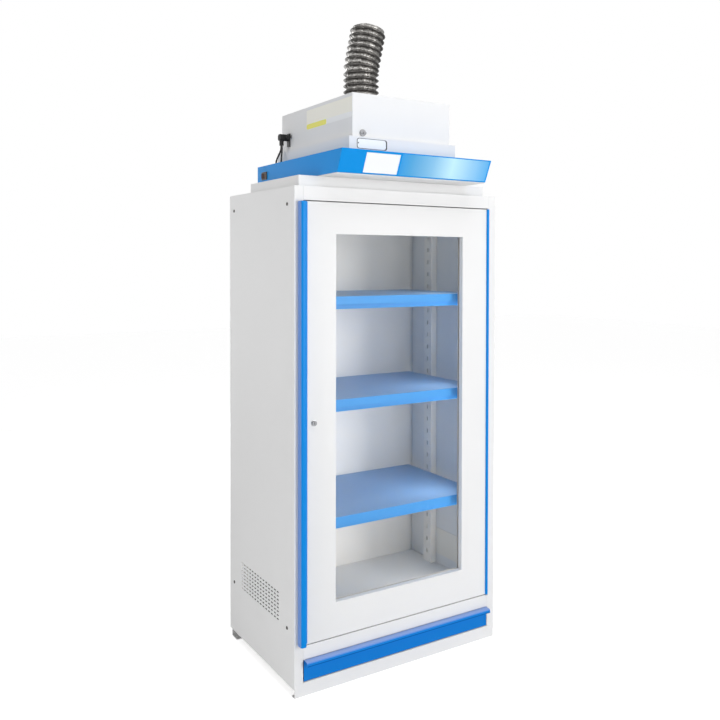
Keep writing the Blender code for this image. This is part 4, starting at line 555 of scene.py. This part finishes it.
# %% [markdown]
# Each ring is square to the centre line. Two sizes of noise dent it: a slow one with 7 waves to the
# radius for the creases, and one twice as fine for the folds between them. Both run much faster along
# the duct than round it, as the ribs crush the foil that way. A ring never stands above the duct of the
# construction, and each point keeps how deep in a valley it lies, which the foil's colour reads.

# %% Rings of foil
AROUND = 128
CREASES_AROUND, CREASES_ALONG = 7, 60
FOLDS_AROUND, FOLDS_ALONG = 16, 120


def duct_ring(mesh, height, radius, dent, depth=0):
    """One ring of the duct, dented by up to the given size."""
    centre, slope = duct_frame(height)
    across = Vector((1, 0, -slope)).normalized()
    ring = []
    for step in range(AROUND):
        angle = math.tau * step / AROUND
        way = across * math.cos(angle) + Vector((0, math.sin(angle), 0))
        crease = noise.noise(Vector((way.x * CREASES_AROUND, way.y * CREASES_AROUND, height * CREASES_ALONG)))
        fold = noise.noise(Vector((way.x * FOLDS_AROUND, way.y * FOLDS_AROUND, height * FOLDS_ALONG + 5)))
        reach = radius - dent * (0.45 + 0.55 * crease + 0.45 * abs(fold))
        point = centre + way * reach + Vector((0, 0, dent * 1.1 * fold))
        point.z = min(point.z, DUCT_TOP)
        ring.append(mesh.verts.new(point))
        ring[-1][mesh.verts.layers.float["valley"]] = depth
    return ring


def join_rings(mesh, lower, upper):
    """A band of faces between two rings of the same count."""
    count = len(lower)
    for step in range(count):
        after = (step + 1) % count
        mesh.faces.new((lower[step], lower[after], upper[after], upper[step]))


print("rings of", AROUND, "points")

# %% [markdown]
# Every piece that is added rides on one body of the frame, so that it moves with it.
# One helper turns a finished bmesh into such a piece.

# %% Pieces that ride along


def new_piece(name, mesh, finish, body, smooth=True):
    """Turn a bmesh into a piece of the object that rides on one body of the frame."""
    data = bpy.data.meshes.new(name)
    bmesh.ops.recalc_face_normals(mesh, faces=mesh.faces)
    mesh.to_mesh(data)
    mesh.free()
    for face in data.polygons:
        face.use_smooth = smooth
    piece = bpy.data.objects.new(name, data)
    bpy.context.scene.collection.objects.link(piece)
    data.materials.append(finish)
    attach(piece, body)
    return piece


# %% [markdown]
# The stations of the rings go up the cuff on the spigot, then along the ribs, eight rows to each. The
# power of 0.85 makes the ribs pointed rather than round, and the dents ease off at the open end. An
# inner wall runs back down, so that the foil has a thickness and the open end shows it.

# %% Foil duct
CUFF_RADIUS, CUFF_LENGTH = 62.5 * MM, 42 * MM
CREST_RADIUS, RIB_DEPTH, RIB_PITCH = 73.3 * MM, 14 * MM, 24.3 * MM
RIB_POINT, RIB_DENT, CUFF_DENT = 0.85, 4.2 * MM, 0.5 * MM
FOIL, ROWS_PER_RIB = 1.2 * MM, 8
cuff_top = DUCT_FOOT + CUFF_LENGTH
ribs = int((DUCT_END - cuff_top) / RIB_PITCH)
pitch = (DUCT_END - cuff_top) / ribs
stations = [(DUCT_FOOT, CUFF_RADIUS, 0), (cuff_top - 6 * MM, CUFF_RADIUS, CUFF_DENT)]
for row in range(ribs * ROWS_PER_RIB + 1):
    phase = row / ROWS_PER_RIB
    rise = abs((phase + 0.25) % 1 - 0.5) * 2
    radius = CREST_RADIUS - RIB_DEPTH * rise ** RIB_POINT * min(1, phase + 0.5)
    ease = min(1, (ribs * ROWS_PER_RIB - row) / ROWS_PER_RIB)
    stations.append((cuff_top + pitch * phase, radius, RIB_DENT * (0.3 + 0.7 * rise) * ease, rise))
mesh = bmesh.new()
mesh.verts.layers.float.new("valley")
outside = [duct_ring(mesh, *station) for station in stations]
inside = [duct_ring(mesh, height, radius - FOIL, *rest) for height, radius, *rest in reversed(stations[2:])]
for lower, upper in zip(outside + inside, (outside + inside)[1:]):
    join_rings(mesh, lower, upper)
duct = new_piece("ribbed_foil_duct", mesh, duct_foil, "cabinet")
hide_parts("exhaust_duct")
print("the duct has", ribs, "ribs and", len(duct.data.polygons), "faces")

# %% [markdown]
# Two mains leads run from the angled plug down into the control housing. Each is 7 mm of black PVC
# cable, held at both ends, so it is a curve with a round bevel along the same hanging line as in the
# construction. The line swings over smoothly and meets both ends upright, as a stiff cable does.

# %% Mains leads
LEAD_RADIUS = 3.5 * MM


def hanging_line(start, end, count=24):
    """Points from start to end that leave and land upright."""
    points = []
    for step in range(count + 1):
        share = step / count
        point = start.lerp(end, share * share * (3 - 2 * share))
        point.z = start.z + (end.z - start.z) * share
        points.append(point)
    return points


for name in ("front", "rear"):
    low, high = (Vector(corner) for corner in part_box("power_lead_" + name))
    start = Vector((high.x - LEAD_RADIUS, high.y - LEAD_RADIUS, high.z))
    end = Vector((low.x + LEAD_RADIUS, low.y + LEAD_RADIUS, low.z))
    straight = Vector((0, 0, LEAD_RADIUS * 2))
    curve = bpy.data.curves.new("mains_lead_" + name, "CURVE")
    curve.dimensions = "3D"
    curve.bevel_depth = LEAD_RADIUS
    curve.bevel_resolution = 5
    curve.use_fill_caps = True
    points = [start] + hanging_line(start - straight, end + straight) + [end]
    spline = curve.splines.new("POLY")
    spline.points.add(len(points) - 1)
    for knot, point in zip(spline.points, points):
        knot.co = (*point, 1)
    spline.use_smooth = True
    lead = bpy.data.objects.new("mains_lead_" + name, curve)
    bpy.context.scene.collection.objects.link(lead)
    curve.materials.append(black_rubber)
    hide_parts("power_lead_" + name)
    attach(lead, "cabinet")
    print(lead.name, "falls", round((start.z - end.z) / MM), "mm")

# %% [markdown]
# Films, plates and slots are all the same thing: a thin sheet with rounded corners, laid on a face. One
# helper builds it from the middle of the face, the two directions along it, and its width and height.
# The outline is walked once round the corners, pushed out by the thickness, and its edge is broken.

# %% Thin plates
CORNER_STEPS = 6


def thin_plate(name, middle, across, along, size, corner, thickness, finish, body):
    """A sheet with round corners on the face spanned by two directions."""
    across, along = Vector(across).normalized(), Vector(along).normalized()
    outward = across.cross(along)
    half_width, half_height = size[0] / 2 - corner, size[1] / 2 - corner
    outline = []
    for quarter, (side, end) in enumerate(((1, 1), (-1, 1), (-1, -1), (1, -1))):
        for step in range(CORNER_STEPS + 1):
            angle = math.tau * (quarter + step / CORNER_STEPS) / 4
            shift = across * (side * half_width + corner * math.cos(angle))
            outline.append(Vector(middle) + shift + along * (end * half_height + corner * math.sin(angle)))
    mesh = bmesh.new()
    lower = [mesh.verts.new(point) for point in outline]
    upper = [mesh.verts.new(point + outward * thickness) for point in outline]
    join_rings(mesh, lower, upper)
    mesh.faces.new(upper)
    mesh.faces.new(reversed(lower))
    edges = [edge for edge in mesh.edges if edge.verts[0] in upper and edge.verts[1] in upper]
    bmesh.ops.bevel(mesh, geom=edges, offset=thickness * 0.4, segments=2, affect="EDGES")
    return new_piece(name, mesh, finish, body, smooth=False)


RIGHT, UP, BACK = Vector((1, 0, 0)), Vector((0, 0, 1)), Vector((0, 1, 0))
print("a plate's outline has", 4 * (CORNER_STEPS + 1), "points")

# %% [markdown]
# The front of the control housing leans outwards. Right of the touch panel it carries a polyester film,
# printed from the back in one long run of blue, from sky blue at its ends to nearly white right of its
# middle. A ramp along the film's length, in metres, draws it, so it stays in place whatever the film's
# edge does.

# %% Printed film
FILM_FROM, FILM_TO, FILM_HEIGHT, FILM = -78 * MM, 322 * MM, 80 * MM, 0.25 * MM
STOPS = [(0.0, "#2f9be2"), (0.12, "#4fa5dc"), (0.36, "#86c2e8"),
         (0.58, "#c2ecfc"), (0.8, "#95cdf2"), (1.0, "#5cb0ec")]
FILM_GRAIN = 1.5 * MM
printed_film, tree, shader = new_finish("printed_polyester_film")
spot = add_node(tree, "ShaderNodeTexCoord").outputs["Object"]
across = add_node(tree, "ShaderNodeSeparateXYZ", {0: spot}).outputs["X"]
share = add_node(tree, "ShaderNodeMapRange", {"Value": across}, (), From_Min=FILM_FROM, From_Max=FILM_TO)
ramp = add_node(tree, "ShaderNodeValToRGB", {"Fac": share})
while len(ramp.color_ramp.elements) < len(STOPS):
    ramp.color_ramp.elements.new(0.5)
for element, (place, code) in zip(ramp.color_ramp.elements, STOPS):
    element.position, element.color = place, colour(code)
grain = add_node(tree, "ShaderNodeTexNoise", {"Vector": spot}, Scale=1 / FILM_GRAIN)
texture = add_node(tree, "ShaderNodeBump", {"Height": grain}, (), Strength=0.04, Distance=0.1 * MM)
tree.links.new(ramp.outputs[0], shader.inputs["Base Color"])
tree.links.new(texture.outputs[0], shader.inputs["Normal"])
shader.inputs["Roughness"].default_value = 0.28
shader.inputs["Specular IOR Level"].default_value = 0.3
print("the film's ramp has", len(STOPS), "stops")

# %% [markdown]
# Film and touch panel are laid on that leaning face. Its foot and its head are taken from the housing's
# box, and the line between them is the direction that the plates stand along.

# %% Control panel
low, high = (Vector(corner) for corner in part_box("console_cover"))
FACE_SETBACK, FACE_RISE = 36.5 * MM, 80.7 * MM
FACE_FOOT = Vector((0, low.y + FACE_SETBACK, low.z))
FACE_HEAD = Vector((0, low.y, low.z + FACE_RISE))
UP_FACE = (FACE_HEAD - FACE_FOOT).normalized()
PANEL_RIM, PANEL_HEIGHT, PANEL_OUT = 9 * MM, 65 * MM, 2.05 * MM

middle = (FACE_FOOT + FACE_HEAD) / 2 + Vector(((FILM_FROM + FILM_TO) / 2, 0, 0))
film_size = (FILM_TO - FILM_FROM, FILM_HEIGHT)
thin_plate("blank_panel_film", middle, RIGHT, UP_FACE, film_size, 3 * MM, FILM, printed_film, "cabinet")
low, high = (Vector(corner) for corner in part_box("touch_display"))
middle = (low + high) / 2 + RIGHT.cross(UP_FACE) * PANEL_OUT
panel_size = (high.x - low.x - PANEL_RIM, PANEL_HEIGHT)
thin_plate("touch_glass", middle, RIGHT, UP_FACE, panel_size, 2 * MM, 0.3 * MM, white_screen, "cabinet")
print("film", round(film_size[0] / MM), "mm and touch panel", round(panel_size[0] / MM), "mm wide, leaning",
      round(math.degrees(UP_FACE.angle(UP))), "degrees")

# %% [markdown]
# Bare films mark the filter unit: a white plate with a black edge on its base, held by a small rivet,
# and a cream film with a yellow and a white band on the hood's left side. They differ only in place,
# size and finish, so a table holds those and a loop lays the plates.

# %% Bare plates on the filter unit
BASE_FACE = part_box("filter_base")[0][1] / MM
HOOD_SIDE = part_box("filter_hood")[0][0] / MM
FRONT_PLATES = [
    # name, middle, size and corner and thickness in mm, finish, slot
    ("plate_edge", (-141.5, BASE_FACE, 1964.5), (129, 38, 9, 0.4), plate_edge, "black_plastic"),
    ("blank_plate", (-143, BASE_FACE - 0.4, 1964.5), (121, 34, 8, 0.3), blank_plate, "display"),
    ("plate_rivet", (-200, BASE_FACE - 0.7, 1966), (5, 5, 2.49, 0.6), dark_screw_steel, "dark_metal"),
]
SIDE_PLATES = [
    ("blank_instruction_film", (HOOD_SIDE, -52, 2099), (363, 74, 1, 0.2), cream_film, "display"),
    ("blank_yellow_band", (HOOD_SIDE - 0.2, 46, 2071), (167, 20, 9, 0.2), yellow_film, "display"),
    ("blank_white_band", (HOOD_SIDE - 0.2, -135, 2071), (195, 20, 5, 0.2), blank_plate, "display"),
]
for across, plates in ((RIGHT, FRONT_PLATES), (-BACK, SIDE_PLATES)):
    for name, middle, measures, finish, slot in plates:
        width, height, corner, thickness = (length * MM for length in measures)
        thin_plate(name, Vector(middle) * MM, across, UP, (width, height), corner, thickness, finish,
                   "cabinet")
print("plates:", len(FRONT_PLATES), "in front and", len(SIDE_PLATES), "on the side")

# %% [markdown]
# The lip of the drawer's grip shades its own lower edge, and that shadow is painted: one dark line
# along the lower edge, 2.6 mm high, of a deeper blue. A thin strip on the lip draws it,
# a little above the edge and a little shorter than the lip.

# %% Painted shadow under the drawer's lip
lip_low, lip_high = (Vector(corner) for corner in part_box("drawer_front"))
LIP_DROP, SHADOW_LINE_RISE, SHADOW_LINE_INSET = 16 * MM, 0.7 * MM, 2 * MM
SHADOW_LINE_HEIGHT, SHADOW_LINE_THICK = 2.6 * MM, 0.15 * MM
# A painted shadow: a strip of deeper blue along the lip's lower edge.
painted_lip_shadow = powder_coat("painted_lip_shadow_coat", "#0059a6", 0.40, 0.05)
middle = (0, lip_low.y, lip_high.z - LIP_DROP + SHADOW_LINE_RISE + SHADOW_LINE_HEIGHT / 2)
shadow_line_size = (lip_high.x - lip_low.x - 2 * SHADOW_LINE_INSET, SHADOW_LINE_HEIGHT)
thin_plate("drawer_lip_painted_shadow", middle, RIGHT, UP, shadow_line_size, 0.5 * MM, SHADOW_LINE_THICK, painted_lip_shadow, "drawer")
print("hem", round(middle[2] / MM, 1), "mm above the floor")

# %% [markdown]
# The front stiles are folded channels, and the roof sheet stops behind them. A pressed cap closes each
# channel at its top, flush with the roof, so no open end shows from above.

# %% Stile caps
side_low, side_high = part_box("side_panel_left")
CAP_THICK, CAP_AT_X, CAP_BEHIND, CAP_BELOW = 1 * MM, 432.75 * MM, 1.7 * MM, 0.4 * MM
cap_size = (31 * MM, 23.2 * MM)
cap_y = side_low[1] + CAP_BEHIND + cap_size[1] / 2
for side, name in ((-1, "left"), (1, "right")):
    middle = (side * CAP_AT_X, cap_y, side_high[2] - CAP_BELOW - CAP_THICK)
    thin_plate("stile_cap_" + name, middle, RIGHT, BACK, cap_size, 1 * MM, CAP_THICK, white_coat, "cabinet")
print("caps at depth", round(cap_y / MM, 1), "mm")

# %% [markdown]
# Behind each air grille lies a felt pad, between the uprights and against the side panel. Its outer side
# is painted shade, dark as the space behind the slots, while its chamber side takes the pale tone of the
# chamber's wall, so the colour changes half way through its thickness. From outside it is only seen
# through the slots, which it turns dark.

# %% Painted shade behind the grilles
PAD_INNER, PAD_THICK, PAD_HEIGHT, PAD_MIDDLE = 446.8 * MM, 1.4 * MM, 116 * MM, 283 * MM
FIBRE, POST_GAP = 1.5 * MM, 1 * MM
# The outer side is painted shade seen through the slots. The chamber side matches the wall.
CHAMBER_WALL_TONE, GRILLE_SHADE = "#f0ece4", "#161616"
grille_shade_felt, tree, shader = new_finish("felt_with_painted_grille_shade")
spot = add_node(tree, "ShaderNodeTexCoord").outputs["Object"]
sideways = add_node(tree, "ShaderNodeSeparateXYZ", {0: spot}).outputs["X"]
outward = add_node(tree, "ShaderNodeMath", {0: sideways}, {"operation": "ABSOLUTE"})
outer = add_node(tree, "ShaderNodeMath", {0: outward}, {"operation": "GREATER_THAN"})
outer.inputs[1].default_value = PAD_INNER + 0.5 * PAD_THICK
faced = add_node(tree, "ShaderNodeMixRGB", {"Fac": outer}, (),
                 Color1=colour(CHAMBER_WALL_TONE), Color2=colour(GRILLE_SHADE))
fibres = add_node(tree, "ShaderNodeTexNoise", {"Vector": spot}, Scale=1 / FIBRE, Detail=4.0)
nap = add_node(tree, "ShaderNodeBump", {"Height": fibres}, (), Strength=0.3, Distance=0.3 * MM)
tree.links.new(faced.outputs[0], shader.inputs["Base Color"])
tree.links.new(nap.outputs[0], shader.inputs["Normal"])
shader.inputs["Roughness"].default_value = 0.95
front_post, rear_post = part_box("upright_front_left"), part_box("upright_rear_left")
gap = (front_post[1][1] + POST_GAP, rear_post[0][1] - POST_GAP)
for side, name in ((-1, "left"), (1, "right")):
    middle = (side * PAD_INNER, sum(gap) / 2, PAD_MIDDLE)
    thin_plate("grille_shade_pad_" + name, middle, side * BACK, UP, (gap[1] - gap[0], PAD_HEIGHT), 2 * MM,
               PAD_THICK, grille_shade_felt, "cabinet")
print("intake pads", round((gap[1] - gap[0]) / MM), "mm long")

# %% [markdown]
# Each lock shows a keyway, a slot in the face of its core that is dark with shade. A thin black plate is
# that painted shade, and rides on the core's own body, so it turns with the key.

# %% Keyways
KEYWAY = (2.2 * MM, 9 * MM)
CORES = (("lock_core", "door_lock", "door_keyway_shade"), ("hood_lock", "hood_latch", "hood_keyway_shade"))
for core, body, name in CORES:
    low, high = (Vector(corner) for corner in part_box(core))
    radius = (high.x - low.x) / 2
    centre = Vector(((low.x + high.x) / 2, low.y, low.z + radius))
    # The black plate is painted shade in the keyway's slot.
    thin_plate(name, centre, RIGHT, UP, KEYWAY, 1 * MM, 0.15 * MM, black_abs, body)
    print(name, "on a core", round(2 * radius / MM, 1), "mm wide")

# %% [markdown]
# The two leads enter the housing through rubber rings, which keep the sheet's edge off the cable. Each
# ring is a turned piece: a profile of radius and height, in millimetres, goes round the cable's axis.

# %% Cable rings
RING_PROFILE = [(3.6, 0), (3.6, 4.2), (5.2, 4.6), (7.2, 4.2), (7.9, 3.2), (7.9, 0)]
RING_POINTS, RING_SUNK = 32, 0.3 * MM
TURNS = [math.tau * step / RING_POINTS for step in range(RING_POINTS)]
for name in ("front", "rear"):
    low = Vector(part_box("power_lead_" + name)[0])
    foot = Vector((low.x + LEAD_RADIUS, low.y + LEAD_RADIUS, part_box("filter_base")[0][2] - RING_SUNK))
    mesh = bmesh.new()
    rings = []
    for reach, rise in RING_PROFILE:
        lift = Vector((0, 0, rise * MM))
        turned = [foot + Vector((math.cos(angle), math.sin(angle), 0)) * reach * MM + lift for angle in TURNS]
        rings.append([mesh.verts.new(point) for point in turned])
    for inner, outer in zip(rings, rings[1:] + rings[:1]):
        join_rings(mesh, inner, outer)
    new_piece("cable_ring_" + name, mesh, black_rubber, "cabinet")
print("rings of", len(RING_PROFILE), "by", RING_POINTS, "points")
